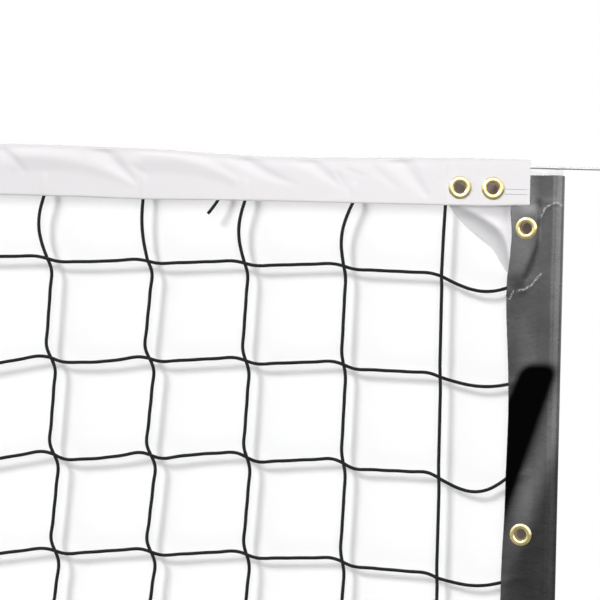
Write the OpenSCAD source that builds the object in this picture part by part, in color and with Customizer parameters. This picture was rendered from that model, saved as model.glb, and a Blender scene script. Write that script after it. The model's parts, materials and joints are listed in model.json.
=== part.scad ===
// Volleyball net on a steel cable, stretched between two free-standing telescopic posts.
//
// X runs along the net, Y through it and Z up. The origin lies on the floor, under the
// middle of the net. A post is drawn about its own axis, with +X pointing away from the net,
// and on_post() sets it in place, mirrored for the left side.

/* [Netting] */
// Mesh size, from the middle of one cord to the next
mesh = 98; // [90:1:105]
// Meshes along the net
mesh_columns = 99; // [60:3:120]
// Meshes between the cable and the bottom rope
mesh_rows = 9; // [7:1:10]
// One upright cord in this many is modelled, and 1 models them all
upright_step = 3; // [1:1:6]
// Thickness of the netting cord
cord_d = 3; // [2:0.5:3.5]
// From the net's top edge down to the first row of junctions
first_row_drop = 113; // [105:1:125]

/* [Net edges] */
// Height of the net's top edge above the floor, with the posts fully raised
net_top = 2430; // [2300:5:2450]
// Thickness of one ply of vinyl
vinyl_t = 1; // [0.6:0.1:1.2]
// Height of the headband and of the bottom band
band_h = 50; // [44:1:60]
// The two bands stop this far inside the ends of the net
band_inset = 35; // [30:1:38]
// Width of the flat part of a side band, beside its dowel pocket
flange_w = 33; // [32:1:45]
// From the net's top or bottom edge to the open end of a dowel pocket
pocket_drop = 20; // [16:1:26]
// From the edge cord to the dowel pocket
pocket_seam = 0.9; // [0.5:0.1:2]
// Diameter of the wooden dowel in each side band
dowel_d = 19; // [16:1:22]
// The dowel stops this far inside the ends of its pocket
dowel_inset = 6; // [3:1:12]
// Reach of a corner web along the headband and down the side band
web_w = 60; // [50:1:70]
// Radius of a corner web's hollow free edge
web_edge_r = 117; // [90:1:150]

/* [Grommets] */
// Hole through a grommet
grommet_hole_d = 11; // [9:0.5:12]
// Outer diameter of a grommet
grommet_d = 23; // [21:0.5:23]
// Thickness of the grommet's metal
grommet_t = 0.9; // [0.7:0.1:1.2]
// From the headband's end to the nearer grommet
head_grommet_inset = 37; // [34:1:42]
// Spacing of the headband's two grommets
head_grommet_pitch = 33; // [30:1:36]
// From the net's top edge down to the headband's grommets
head_grommet_drop = 34; // [32:1:36]
// From the end of the net to the side band's grommets
side_grommet_inset = 37; // [36:1:39]
// From the net's top or bottom edge to the nearest side grommet
side_grommet_drop = 73; // [70:1:80]
// Spacing of the side grommets
side_grommet_pitch = 306; // [250:1:320]

/* [Cable and rope] */
// Diameter of the steel cable in the headband
cable_d = 3.2; // [2.5:0.1:4]
// From the net's top edge down to the middle of the cable
cable_drop = 12; // [10:1:14]
// Diameter of the bottom rope
rope_d = 5.5; // [5.5:0.1:7]
// From the net's bottom edge up to the middle of the bottom rope
rope_rise = 17; // [14:1:20]
// Turns of cable left on the winch drum
drum_turns = 4; // [2:1:4]
// Space between neighbouring turns on the drum
turn_gap = 0.5; // [0.45:0.05:0.7]

/* [Posts] */
// Distance of each post's axis from the middle of the net
post_x = 5200; // [5150:10:5600]
// Outer diameter of the fixed lower tube
outer_tube_d = 89; // [85:1:95]
// Wall of the lower tube
outer_tube_wall = 3; // [2:0.5:3.5]
// Wall of the nylon bush between the two tubes
bush_wall = 3.3; // [2.5:0.1:4]
// Length of the bush below the lower tube's top edge
bush_l = 110; // [90:5:130]
// Wall of the sliding upper tube
inner_tube_wall = 3; // [2:0.5:4]
// Height of the lower tube's top edge
outer_tube_top = 1280; // [1220:5:1300]
// Length of the upper tube
inner_tube_l = 1800; // [1700:10:1850]
// Height of the clamp screw below the lower tube's top edge
clamp_drop = 38; // [34:1:45]
// Diameter of the clamp screw
clamp_screw_d = 12; // [10:1:14]
// Length of the clamp screw's cross bar
clamp_bar_l = 130; // [90:5:160]

/* [Bases] */
// Side of the square base plate
base_w = 600; // [560:10:800]
// Thickness of the base plate
base_t = 20; // [12:1:30]
// Corner radius of the base plate
base_r = 40; // [10:5:60]
// Height of the rubber feet
foot_h = 12; // [8:1:14]
// Diameter of the rubber feet
foot_d = 60; // [40:2:70]
// Spacing of the four floor bolts, both ways
anchor_pitch = 400; // [380:10:440]
// Holes for the floor bolts
anchor_d = 14; // [10:1:18]
// Height of the socket that holds the lower tube
socket_h = 160; // [120:5:200]
// Wall of the socket
socket_wall = 8; // [5:1:12]
// Thickness of the four ribs
rib_t = 8; // [5:1:12]
// Reach of a rib from the post's axis
rib_reach = 220; // [180:5:260]
// Diameter of the transport wheels
wheel_d = 80; // [60:2:90]
// Width of a transport wheel's tyre
wheel_w = 36; // [24:2:44]
// Reach of a wheel's lug over the base plate
lug_reach = 70; // [60:5:90]

/* [Pulley] */
// Width of the pulley's rim
pulley_w = 14; // [10:1:16]
// Thickness of the two cheeks that hold the pulley
cheek_t = 6; // [4:1:8]
// Diameter of the pulley's axle
axle_d = 12; // [10:1:14]

/* [Winch] */
// Height of the drum's axis, with the posts fully raised
winch_z = 1800; // [1750:10:1850]
// Radius of the cable's middle on the drum
drum_wind_r = 22; // [20:1:24]
// Height of the drum's flanges above the middle of the turns
drum_rim = 9; // [6:1:14]
// Thickness of the winch frame's cheeks
frame_t = 4; // [3:1:6]
// Thickness of the winch frame's back plate
back_plate_t = 5; // [4:1:8]
// Height of the worm's axis above the drum's axis
worm_rise = 32; // [30:1:34]
// Radius of the crank, from its shaft to its grip
crank_r = 180; // [140:5:220]
// Diameter of the crank's grip
grip_d = 30; // [24:1:36]
// Length of the crank's grip
grip_l = 100; // [80:5:120]

/* [Hidden] */
$fn = 64;

// Clearances
running = 0.1;      // round a shaft or a slide, on the radius
loose = 0.3;        // between pieces that must not rub
nudge = 0.01;       // lets a cutter reach through a face

// Net
row_z = [for (row = [1 : mesh_rows - 1]) net_top - first_row_drop - mesh * (row - 1)];
rope_z = net_top - first_row_drop - mesh * (mesh_rows - 1);
net_bottom = rope_z - rope_rise;
cable_z = net_top - cable_drop;
edge_cord_x = mesh * mesh_columns / 2;
upright_i = concat([for (i = [0 : upright_step : mesh_columns - 1]) i], [mesh_columns]);
ply_gap = max(cord_d, cable_d) + 2 * running;
ply_out = ply_gap / 2 + vinyl_t;
rope_gap = max(rope_d, 2 * ply_out) + 2 * running;
pocket_r_in = dowel_d / 2 + loose;
pocket_r = pocket_r_in + vinyl_t;
pocket_x = edge_cord_x + cord_d / 2 + pocket_seam + pocket_r;
net_end = pocket_x + pocket_r;
band_end = net_end - band_inset;
flange_x = pocket_x - pocket_r - flange_w;
head_grommet_x = [band_end - head_grommet_inset, band_end - head_grommet_inset - head_grommet_pitch];
side_grommet_x = net_end - side_grommet_inset;
side_grommet_z = concat(
    [for (z = [net_top - side_grommet_drop : -side_grommet_pitch
        : net_bottom + side_grommet_drop + grommet_d * 2]) z],
    [net_bottom + side_grommet_drop]);
barrel_d = grommet_hole_d + 2 * grommet_t;

// The upper tube, which runs in the bush in the lower one
inner_tube_d = outer_tube_d - 2 * (outer_tube_wall + running + bush_wall + running);

// Winch
plate_x = inner_tube_d / 2 + running;
frame_x = plate_x + back_plate_t;
turn_pitch = cable_d + turn_gap;
drum_w = 2 * (drum_turns * turn_pitch + cable_d / 2 + loose);
drum_flange_r = drum_wind_r + drum_rim;
pulley_r = frame_x + drum_rim + 2;
drum_x = pulley_r + drum_wind_r;
drum_flange_t = 2;
frame_in = drum_w / 2 + drum_flange_t + 0.6;
frame_out = frame_in + frame_t;
housing_r = drum_x - frame_x - 1;
housing_l = 38;
worm_y = -(frame_out + 19);
worm_z = winch_z + worm_rise;
worm_r = 15;
worm_shaft_d = 14;
worm_end = drum_x + 34;
crank_x = worm_end + 8;
arm_t = 8;
arm_w = 26;
grip_pin_d = 10;
u_bolt_d = 8;
u_bolt_r = inner_tube_d / 2 + running + u_bolt_d / 2;
u_bolt_dz = 64;

// Posts
plate_top = foot_h + base_t;
bolt_z = plate_top + socket_h / 2;
bolt_d = 12;
collar_h = 75;
collar_wall = 10;
boss_d = 36;
boss_l = 28;
clamp_z = outer_tube_top - clamp_drop;
bush_flange_t = 8;
collar_r = outer_tube_d / 2 + running + collar_wall;
boss_end = collar_r + boss_l;
axle_z = cable_z - pulley_r;
head_cap_t = 8;
inner_tube_top = axle_z - pulley_r - 14;
inner_tube_bottom = inner_tube_top - inner_tube_l;
fork_in = pulley_w / 2 + 1.5;
fork_out = fork_in + cheek_t;
wheel_x = base_w / 2 + wheel_d / 2;
wheel_z = foot_h + wheel_d / 2;
wheel_y = base_w / 3;
wheel_pin_d = 12;
lug_t = 6;

// The cable's eye, round the anchor pin
thimble_t = 4;
eye_r = axle_d / 2 + loose + thimble_t;
ferrule_l = 26;

// The rope's fastening, from the post's axis towards the net
lug_hole_x = 62;
lug_hole_d = 12;
ring_r = 14;
ring_wire_d = 5;
ring_x = lug_hole_x + (lug_hole_d - ring_wire_d) / 2 - 0.9 + ring_r;
rope_eye_r = 9;
rope_eye_x = ring_x + ring_r - (ring_wire_d + rope_d) / 2 - loose + rope_eye_r;
whip_end = rope_eye_x + rope_eye_r + 24;

// Loose end of lacing that hangs out of the headband, from inside it to its tip
tail_d = 3.2;
tail_route = [[4533, 0, 2400], [4532, 0, 2390], [4530, 0, 2380], [4525, -1, 2372], [4519, -2, 2364]];

vinyl_white = "#ece8ec";
vinyl_black = "#2c2d30";
cord_black = "#222326";
brass = "#b8924e";
steel = "#9aa0a6";
zinc = "#c3c7ca";
tube_silver = "#b9bdc1";
base_grey = "#45484c";
rubber = "#26262a";
nylon = "#e4e2da";
wood = "#c8a878";
cast_grey = "#6b7076";

// Sets a post's piece in place: side is 1 for the right post and -1 for the left.
module on_post(side) {
    translate([side * post_x, 0, 0]) mirror([side < 0 ? 1 : 0, 0, 0]) children();
}

// Sets a piece at the right or left end of the net.
module on_side(side) {
    mirror([side < 0 ? 1 : 0, 0, 0]) children();
}

// A round bar along X, Y or Z that starts at a point.
module bar_x(from, length, d) {
    translate(from) rotate([0, 90, 0]) cylinder(h = length, d = d);
}

module bar_y(from, length, d) {
    translate(from) rotate([-90, 0, 0]) cylinder(h = length, d = d);
}

// A tube along Z between two heights.
module pipe(z0, z1, d_out, d_in) {
    translate([0, 0, z0]) difference() {
        cylinder(h = z1 - z0, d = d_out);
        translate([0, 0, -nudge]) cylinder(h = z1 - z0 + 2 * nudge, d = d_in);
    }
}

// A flat outline in X and Z, extruded through Y between two values.
module slab_y(y0, y1) {
    translate([0, y1, 0]) rotate([90, 0, 0]) linear_extrude(y1 - y0) children();
}

// A square outline with round corners.
module round_square(side, r) {
    square([side - 2 * r, side], center = true);
    square([side, side - 2 * r], center = true);
    for (x = [-1, 1], y = [-1, 1]) translate([x, y] * (side / 2 - r)) circle(r);
}

// Vectors for the swept tubes
function unit(v) = v / norm(v);
function direction(path, i) =
    unit(path[min(i + 1, len(path) - 1)] - path[max(i - 1, 0)]);
function ring_at(p, t, r, sides) = let (u = unit(cross(t, [0, 1, 0])), v = cross(u, t))
    [for (k = [0 : sides - 1]) p + r * (cos(360 * k / sides) * u + sin(360 * k / sides) * v)];

// A tube that follows a path of points, none of whose steps runs along Y.
module swept_tube(path, d, sides) {
    last = len(path) - 1;
    points = [for (i = [0 : last]) each ring_at(path[i], direction(path, i), d / 2, sides)];
    walls = [for (i = [0 : last - 1], k = [0 : sides - 1])
        let (a = i * sides + k, b = i * sides + (k + 1) % sides)
        each [[a, b, b + sides], [a, b + sides, a + sides]]];
    start = [for (k = [1 : sides - 2]) [0, k + 1, k]];
    end = [for (k = [1 : sides - 2]) [last * sides, last * sides + k, last * sides + k + 1]];
    polyhedron(points, concat(walls, start, end));
}

// ---- Bases ----

module base(side) {
    socket_r = outer_tube_d / 2 + loose + socket_wall;
    color(base_grey) on_post(side) difference() {
        union() {
            translate([0, 0, foot_h]) linear_extrude(base_t) round_square(base_w, base_r);
            translate([0, 0, plate_top]) cylinder(h = socket_h, r = socket_r);
            for (turn = [45 : 90 : 315]) rotate([0, 0, turn]) rib(socket_r);
            for (y = [-1, 1], edge = [-1, 1])
                translate([0, y * wheel_y + edge * (wheel_w / 2 + 2 + lug_t / 2), 0]) wheel_lug();
        }
        translate([0, 0, plate_top]) cylinder(h = socket_h + nudge, d = outer_tube_d + 2 * loose);
        for (x = [-1, 1], y = [-1, 1])
            translate([x * anchor_pitch / 2, y * anchor_pitch / 2, 0]) cylinder(h = plate_top + 1, d = anchor_d);
        bar_y([0, -outer_tube_d, bolt_z], 2 * outer_tube_d, bolt_d + 2 * loose);
        for (y = [-1, 1])
            bar_y([wheel_x, y * wheel_y - wheel_w, wheel_z], 2 * wheel_w, wheel_pin_d + 2 * running);
    }
}

// A triangular rib between the plate and the socket.
module rib(socket_r) {
    inside = socket_r - socket_wall / 2;
    slab_y(-rib_t / 2, rib_t / 2) polygon([
        [inside, plate_top - 1], [rib_reach, plate_top - 1], [rib_reach, plate_top + 12],
        [socket_r + 8, plate_top + socket_h - 25], [inside, plate_top + socket_h - 25]]);
}

// One of the two lugs that carry a transport wheel.
module wheel_lug() {
    slab_y(-lug_t / 2, lug_t / 2) {
        polygon([
            [base_w / 2 - lug_reach, plate_top - 1], [base_w / 2 - 4, plate_top - 1],
            [wheel_x + 6, wheel_z - 13], [wheel_x - 2, wheel_z + 13], [base_w / 2 - 30, wheel_z + 13]]);
        translate([wheel_x, wheel_z]) circle(15);
    }
}

module feet(side) {
    foot_at = base_w / 2 - foot_d / 2 - 12;
    color(rubber) on_post(side)
        for (x = [-1, 1], y = [-1, 1]) translate([x * foot_at, y * foot_at, 0]) {
            cylinder(h = foot_h / 2, d1 = foot_d - 6, d2 = foot_d);
            translate([0, 0, foot_h / 2]) cylinder(h = foot_h / 2, d = foot_d);
        }
}

// Bolt through the socket and the lower tube, with its nut.
module socket_bolt(side) {
    reach = outer_tube_d / 2 + loose + socket_wall;
    color(zinc) on_post(side) {
        bar_y([0, -reach - 4, bolt_z], 2 * reach + 18, bolt_d);
        translate([0, -reach - 7.5, bolt_z]) rotate([-90, 0, 0]) cylinder(h = 7.5, d = 20.8, $fn = 6);
        translate([0, reach, bolt_z]) rotate([-90, 0, 0]) cylinder(h = 10, d = 20.8, $fn = 6);
    }
}

module wheel_axles(side) {
    pin_l = wheel_w + 4 + 2 * lug_t;
    color(zinc) on_post(side) for (y = [-1, 1]) {
        bar_y([wheel_x, y * wheel_y - pin_l / 2 - 3, wheel_z], pin_l + 6, wheel_pin_d);
        for (end = [-1, 1])
            bar_y([wheel_x, y * wheel_y + end * (pin_l / 2 + 2) - 2, wheel_z], 4, wheel_pin_d + 6);
    }
}

// A transport wheel: a rubber tread on a hub with a hollow disc.
module wheel(side, end) {
    hub_w = wheel_w + 4 - 2 * loose;
    tread_r = wheel_d / 2;
    color(rubber) on_post(side) translate([wheel_x, end * wheel_y, wheel_z]) rotate([90, 0, 0])
        rotate_extrude() polygon([
            [wheel_pin_d / 2 + running, -hub_w / 2], [14, -hub_w / 2], [16, -wheel_w / 6],
            [tread_r - 11, -wheel_w / 6], [tread_r - 9, -wheel_w / 2], [tread_r - 4, -wheel_w / 2],
            [tread_r, -wheel_w / 2 + 6], [tread_r, wheel_w / 2 - 6], [tread_r - 4, wheel_w / 2],
            [tread_r - 9, wheel_w / 2], [tread_r - 11, wheel_w / 6], [16, wheel_w / 6],
            [14, hub_w / 2], [wheel_pin_d / 2 + running, hub_w / 2]]);
}

// ---- Posts ----

module outer_tube(side) {
    color(tube_silver) on_post(side) difference() {
        pipe(plate_top, outer_tube_top, outer_tube_d, outer_tube_d - 2 * outer_tube_wall);
        bar_y([0, -outer_tube_d, bolt_z], 2 * outer_tube_d, bolt_d + 2 * loose);
        bar_x([0, 0, clamp_z], outer_tube_d, clamp_screw_d + 4);
    }
}

// Cast collar round the lower tube's top, with the threaded boss of the clamp screw.
module collar(side) {
    bore = outer_tube_d / 2 + running;
    bottom = outer_tube_top - collar_h;
    color(cast_grey) on_post(side) difference() {
        union() {
            rotate_extrude() polygon([
                [bore, bottom], [collar_r - 4, bottom], [collar_r, bottom + 6],
                [collar_r, outer_tube_top - 4], [collar_r - 4, outer_tube_top], [bore, outer_tube_top]]);
            difference() {
                bar_x([0, 0, clamp_z], boss_end, boss_d);
                translate([0, 0, bottom]) cylinder(h = collar_h, r = bore + collar_wall / 2);
            }
        }
        bar_x([0, 0, clamp_z], boss_end + nudge, clamp_screw_d + 2 * running);
    }
}

// Nylon bush that lines the lower tube and guides the upper one.
module bush(side) {
    bore = inner_tube_d / 2 + running;
    sleeve = outer_tube_d / 2 - outer_tube_wall - running;
    color(nylon) on_post(side) difference() {
        rotate_extrude() polygon([
            [bore, outer_tube_top - bush_l], [sleeve, outer_tube_top - bush_l], [sleeve, outer_tube_top],
            [outer_tube_d / 2 + 2, outer_tube_top], [outer_tube_d / 2 + 2, outer_tube_top + bush_flange_t - 3],
            [outer_tube_d / 2 - 1, outer_tube_top + bush_flange_t], [bore, outer_tube_top + bush_flange_t]]);
        bar_x([0, 0, clamp_z], outer_tube_d, clamp_screw_d + 4);
    }
}

module clamp_screw(side) {
    tip = inner_tube_d / 2 + loose;
    hub_x = boss_end + 4;
    color(zinc) on_post(side) {
        bar_x([tip, 0, clamp_z], hub_x - tip + 5, clamp_screw_d);
        bar_x([hub_x, 0, clamp_z], 24, clamp_screw_d + 10);
        bar_y([hub_x + 13, -clamp_bar_l / 2, clamp_z], clamp_bar_l, 11);
        for (end = [-1, 1]) translate([hub_x + 13, end * clamp_bar_l / 2, clamp_z]) sphere(d = 19);
    }
}

module inner_tube(side) {
    color(zinc) on_post(side)
        pipe(inner_tube_bottom, inner_tube_top, inner_tube_d, inner_tube_d - 2 * inner_tube_wall);
}

// Nylon plug in the foot of the upper tube, whose rim runs in the lower tube.
module guide_plug(side) {
    spigot = inner_tube_d / 2 - inner_tube_wall - running;
    rim = outer_tube_d / 2 - outer_tube_wall - running;
    color(nylon) on_post(side) rotate_extrude() polygon([
        [15, inner_tube_bottom - 22], [rim - 2, inner_tube_bottom - 22], [rim, inner_tube_bottom - 20],
        [rim, inner_tube_bottom], [spigot, inner_tube_bottom],
        [spigot, inner_tube_bottom + 45], [15, inner_tube_bottom + 45]]);
}

// ---- Pulley head and anchor head ----

// Fork on a spigot, with its eye at a height and a round end of a radius.
module fork(eye_z, eye_r, hole_d) {
    spigot = inner_tube_d / 2 - inner_tube_wall - running;
    cap_top = inner_tube_top + head_cap_t;
    foot_w = inner_tube_d / 2 - 8;
    difference() {
        union() {
            translate([0, 0, inner_tube_top - 50]) cylinder(h = 50 + nudge, r = spigot);
            rotate_extrude() polygon([
                [0, inner_tube_top], [inner_tube_d / 2, inner_tube_top],
                [inner_tube_d / 2, cap_top - 2], [inner_tube_d / 2 - 2, cap_top], [0, cap_top]]);
            for (cheek = [-fork_out, fork_in]) slab_y(cheek, cheek + cheek_t) {
                polygon([[-foot_w, cap_top - 1], [foot_w, cap_top - 1], [eye_r, eye_z], [-eye_r, eye_z]]);
                translate([0, eye_z]) circle(eye_r);
            }
        }
        bar_y([0, -fork_out - 1, eye_z], 2 * fork_out + 2, hole_d);
    }
}

module pulley_head() {
    color(steel) on_post(1) fork(axle_z, 22, axle_d + 2 * running);
}

module anchor_head() {
    color(steel) on_post(-1) fork(cable_z, 12, axle_d + 2 * running);
}

// A pin through a fork, with a head in front and a retaining washer behind.
module fork_pin(z) {
    bar_y([0, -fork_out - 4, z], 2 * fork_out + 9, axle_d);
    bar_y([0, -fork_out - 4, z], 4, axle_d + 8);
    bar_y([0, fork_out, z], 2, axle_d + 7);
}

module pulley_axle() {
    color(zinc) on_post(1) fork_pin(axle_z);
}

module anchor_pin() {
    color(zinc) on_post(-1) fork_pin(cable_z);
}

// Grooved wheel with a thin web and five round openings.
module pulley() {
    rim_r = pulley_r + cable_d;
    groove_r = cable_d / 2 + loose;
    hub_r = axle_d / 2 + 9;
    bush_r = axle_d / 2 + 3 + running;
    color(steel) on_post(1) translate([0, 0, axle_z]) rotate([90, 0, 0]) difference() {
        rotate_extrude() difference() {
            polygon([
                [bush_r, -fork_in + loose], [hub_r, -fork_in + loose], [hub_r + 3, -pulley_w / 5],
                [rim_r - 12, -pulley_w / 5], [rim_r - 9, -pulley_w / 2], [rim_r, -pulley_w / 2],
                [rim_r, pulley_w / 2], [rim_r - 9, pulley_w / 2], [rim_r - 12, pulley_w / 5],
                [hub_r + 3, pulley_w / 5], [hub_r, fork_in - loose], [bush_r, fork_in - loose]]);
            translate([pulley_r, 0]) circle(groove_r);
            polygon([
                [pulley_r, -groove_r], [rim_r + 1, -pulley_w / 2 + 1.5],
                [rim_r + 1, pulley_w / 2 - 1.5], [pulley_r, groove_r]]);
        }
        for (hole = [0 : 4]) rotate([0, 0, hole * 72]) translate([27.5, 0, -pulley_w])
            cylinder(h = 2 * pulley_w, d = 13);
    }
}

module pulley_bush() {
    half = fork_in - loose;
    color("#a5763d") on_post(1) translate([0, 0, axle_z]) rotate([90, 0, 0])
        pipe(-half, half, axle_d + 6, axle_d + 2 * running);
}

// Grooved ring between the anchor pin and the cable's eye.
module thimble() {
    bore = axle_d / 2 + loose;
    color(zinc) on_post(-1) translate([0, 0, cable_z]) rotate([90, 0, 0]) rotate_extrude() difference() {
        translate([bore, -3.5]) square([thimble_t, 7]);
        translate([eye_r, 0]) circle(cable_d / 2 + loose);
    }
}

// The cable's end, looped round the thimble and pressed into a ferrule.
module cable_eye() {
    color(steel) on_post(-1) translate([0, 0, cable_z]) {
        rotate([90, 0, 0]) rotate_extrude() translate([eye_r, 0]) circle(d = cable_d);
        bar_x([-eye_r - ferrule_l, 0, 0], ferrule_l, 9);
    }
}

// ---- Cable ----

// Straight through the headband, a quarter turn over the pulley and down to the drum.
module top_cable() {
    start = -post_x + eye_r + ferrule_l;
    color(steel) {
        bar_x([start, 0, cable_z], post_x - start, cable_d);
        translate([post_x, 0, axle_z]) rotate([90, 0, 0]) rotate_extrude(angle = 90)
            translate([pulley_r, 0]) circle(d = cable_d);
        translate([post_x + pulley_r, 0, winch_z + cable_d]) cylinder(h = axle_z - winch_z - cable_d, d = cable_d);
    }
}

// The turns on the drum: from the cable's straight end, round the drum and towards the gearbox.
turn_steps = 24;
winding_path = concat(
    [[drum_x - drum_wind_r, 0, winch_z + cable_d]],
    [for (i = [0 : drum_turns * turn_steps]) let (a = 180 + i * 360 / turn_steps)
        [drum_x + drum_wind_r * cos(a), -turn_pitch * i / turn_steps, winch_z + drum_wind_r * sin(a)]]);
// The least space between two turns, measured on the path's own points
turn_space = min([for (i = [1 : len(winding_path) - 1], j = [i + turn_steps / 2 : len(winding_path) - 1])
    norm(winding_path[i] - winding_path[j])]) - cable_d;
echo(least_gap_between_turns = turn_space);

module cable_winding() {
    color(steel) on_post(1) swept_tube(winding_path, cable_d, 6);
}

// ---- Winch ----

// Folded frame: a plate against the tube and two cheeks that carry the drum.
module winch_frame() {
    plate_h = 2 * u_bolt_dz + 34;
    plate_w = 2 * u_bolt_r + 26;
    cheek_r = drum_flange_r + 2;
    color(cast_grey) on_post(1) difference() {
        union() {
            translate([plate_x, -plate_w / 2, winch_z - plate_h / 2]) cube([back_plate_t, plate_w, plate_h]);
            for (cheek = [-frame_out, frame_in]) slab_y(cheek, cheek + frame_t) {
                translate([frame_x - 1, winch_z - cheek_r]) square([drum_x - frame_x + 1, 2 * cheek_r]);
                translate([drum_x, winch_z]) circle(cheek_r);
            }
        }
        bar_y([drum_x, -frame_out - 1, winch_z], 2 * frame_out + 2, axle_d + 2 * running);
        for (z = [-1, 1], y = [-1, 1])
            bar_x([plate_x - 1, y * u_bolt_r, winch_z + z * u_bolt_dz], back_plate_t + 2, u_bolt_d + 2 * loose);
    }
}

// Two U-bolts round the upper tube, with their nuts.
module winch_u_bolts() {
    color(zinc) on_post(1) for (z = [-1, 1]) translate([0, 0, winch_z + z * u_bolt_dz]) {
        rotate([0, 0, 90]) rotate_extrude(angle = 180) translate([u_bolt_r, 0]) circle(d = u_bolt_d);
        for (y = [-1, 1]) {
            bar_x([0, y * u_bolt_r, 0], frame_x + 13, u_bolt_d);
            translate([frame_x, y * u_bolt_r, 0]) rotate([0, 90, 0]) cylinder(h = 6.5, d = 15, $fn = 6);
        }
    }
}

// Gearbox: a round body over the worm wheel, crossed by the worm's own housing.
module gear_housing() {
    color(base_grey) on_post(1) difference() {
        union() {
            bar_y([drum_x, -frame_out - housing_l, winch_z], housing_l, 2 * housing_r);
            bar_x([frame_x + 2, worm_y, worm_z], worm_end - frame_x - 2, 2 * worm_r);
            translate([frame_x + 1, -frame_out - 5, winch_z - housing_r])
                cube([2 * housing_r, 5, worm_rise + housing_r + 14]);
        }
        bar_y([drum_x, -frame_out - housing_l + 8, winch_z], housing_l, axle_d + 2 * running);
        bar_x([drum_x - 14, worm_y, worm_z], worm_end - drum_x + 15, worm_shaft_d + 2 * running);
    }
}

// Round cover on the gearbox, with four screw heads.
module housing_cover() {
    front = -frame_out - housing_l;
    color(cast_grey) on_post(1) {
        bar_y([drum_x, front - 4, winch_z], 4, 2 * housing_r - 3);
        for (a = [45 : 90 : 315])
            bar_y([drum_x + (housing_r - 7) * cos(a), front - 6.5, winch_z + (housing_r - 7) * sin(a)], 3, 7);
    }
}

module drum() {
    half = drum_w / 2;
    core = drum_wind_r - cable_d / 2 - loose;
    color(zinc) on_post(1) translate([drum_x, 0, winch_z]) rotate([90, 0, 0]) rotate_extrude() polygon([
        [axle_d / 2 + running, -half - drum_flange_t], [drum_flange_r, -half - drum_flange_t], [drum_flange_r, -half],
        [core, -half], [core, half], [drum_flange_r, half],
        [drum_flange_r, half + drum_flange_t], [axle_d / 2 + running, half + drum_flange_t]]);
}

module drum_axle() {
    color(steel) on_post(1) {
        bar_y([drum_x, -frame_out - housing_l + 10, winch_z], 2 * frame_out + housing_l - 2, axle_d);
        translate([drum_x, frame_out + loose, winch_z]) rotate([-90, 0, 0]) cylinder(h = 6, d = 21, $fn = 6);
    }
}

// The worm's shaft, out of the gearbox to the crank.
module crank_shaft() {
    color(steel) on_post(1) {
        bar_x([drum_x - 12, worm_y, worm_z], crank_x + arm_t + 5 - drum_x + 12, worm_shaft_d);
        bar_x([worm_end + loose, worm_y, worm_z], crank_x - worm_end - loose, worm_shaft_d + 6);
    }
}

// Flat crank arm with its riveted grip pin.
module crank_arm() {
    pin_z = worm_z - crank_r;
    color(zinc) on_post(1) difference() {
        union() {
            translate([crank_x, worm_y, 0]) rotate([90, 0, 90]) linear_extrude(arm_t) {
                translate([-arm_w / 2, pin_z]) square([arm_w, crank_r]);
                for (z = [pin_z, worm_z]) translate([0, z]) circle(d = arm_w);
            }
            bar_x([crank_x, worm_y, pin_z], arm_t + grip_l + 6, grip_pin_d);
            bar_x([crank_x + arm_t + grip_l + 3, worm_y, pin_z], 3, grip_pin_d + 7);
        }
        bar_x([crank_x - 1, worm_y, worm_z], arm_t + 2, worm_shaft_d + 2 * running);
    }
}

// Turning grip with a waist.
module crank_grip() {
    r = grip_d / 2;
    bore = grip_pin_d / 2 + running;
    color(rubber) on_post(1) translate([crank_x + arm_t + 1.5, worm_y, worm_z - crank_r]) rotate([0, 90, 0])
        rotate_extrude() difference() {
            polygon([
                [bore, 0], [r - 3, 0], [r, 4], [r, grip_l - 4], [r - 3, grip_l], [bore, grip_l]]);
            translate([r + 4 * grip_l - 2.5, grip_l / 2]) circle(4 * grip_l, $fn = 200);
        }
}

// ---- Bottom rope and its fastenings ----

// Split clamp round the upper tube, with a lug towards the net.
module rope_clamp(side) {
    bore = inner_tube_d / 2 + running;
    band_r = bore + 6;
    ear_end = band_r + 22;
    color(cast_grey) on_post(side) {
        difference() {
            union() {
                translate([0, 0, rope_z - 14]) cylinder(h = 28, r = band_r);
                slab_y(-4, 4) {
                    translate([-lug_hole_x, rope_z - 12]) square([lug_hole_x - bore - 2, 24]);
                    translate([-lug_hole_x, rope_z]) circle(12);
                }
                translate([bore + 2, -8, rope_z - 12]) cube([ear_end - bore - 2, 16, 24]);
            }
            translate([0, 0, rope_z - 15]) cylinder(h = 30, r = bore);
            translate([bore - 2, -2, rope_z - 15]) cube([ear_end, 4, 30]);
            bar_y([-lug_hole_x, -5, rope_z], 10, lug_hole_d);
            bar_y([ear_end - 10, -9, rope_z], 18, 8 + 2 * loose);
        }
        bar_y([ear_end - 10, -12, rope_z], 27, 8);
        translate([ear_end - 10, -13, rope_z]) rotate([-90, 0, 0]) cylinder(h = 5, d = 15, $fn = 6);
        translate([ear_end - 10, 8, rope_z]) rotate([-90, 0, 0]) cylinder(h = 6, d = 15, $fn = 6);
    }
}

module rope_ring(side) {
    color(zinc) on_post(side) translate([-ring_x, 0, rope_z])
        rotate_extrude() translate([ring_r, 0]) circle(d = ring_wire_d);
}

// The rope from ring to ring, with an eye and its whipping at each end.
module bottom_rope() {
    color(cord_black) {
        bar_x([-post_x + whip_end, 0, rope_z], 2 * (post_x - whip_end), rope_d);
        for (side = [-1, 1]) on_post(side) {
            translate([-rope_eye_x, 0, rope_z]) rotate([90, 0, 0])
                rotate_extrude() translate([rope_eye_r, 0]) circle(d = rope_d);
            bar_x([-whip_end, 0, rope_z], 24 + rope_d / 4, 2 * rope_d + 2);
        }
    }
}

// ---- Net ----

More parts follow.
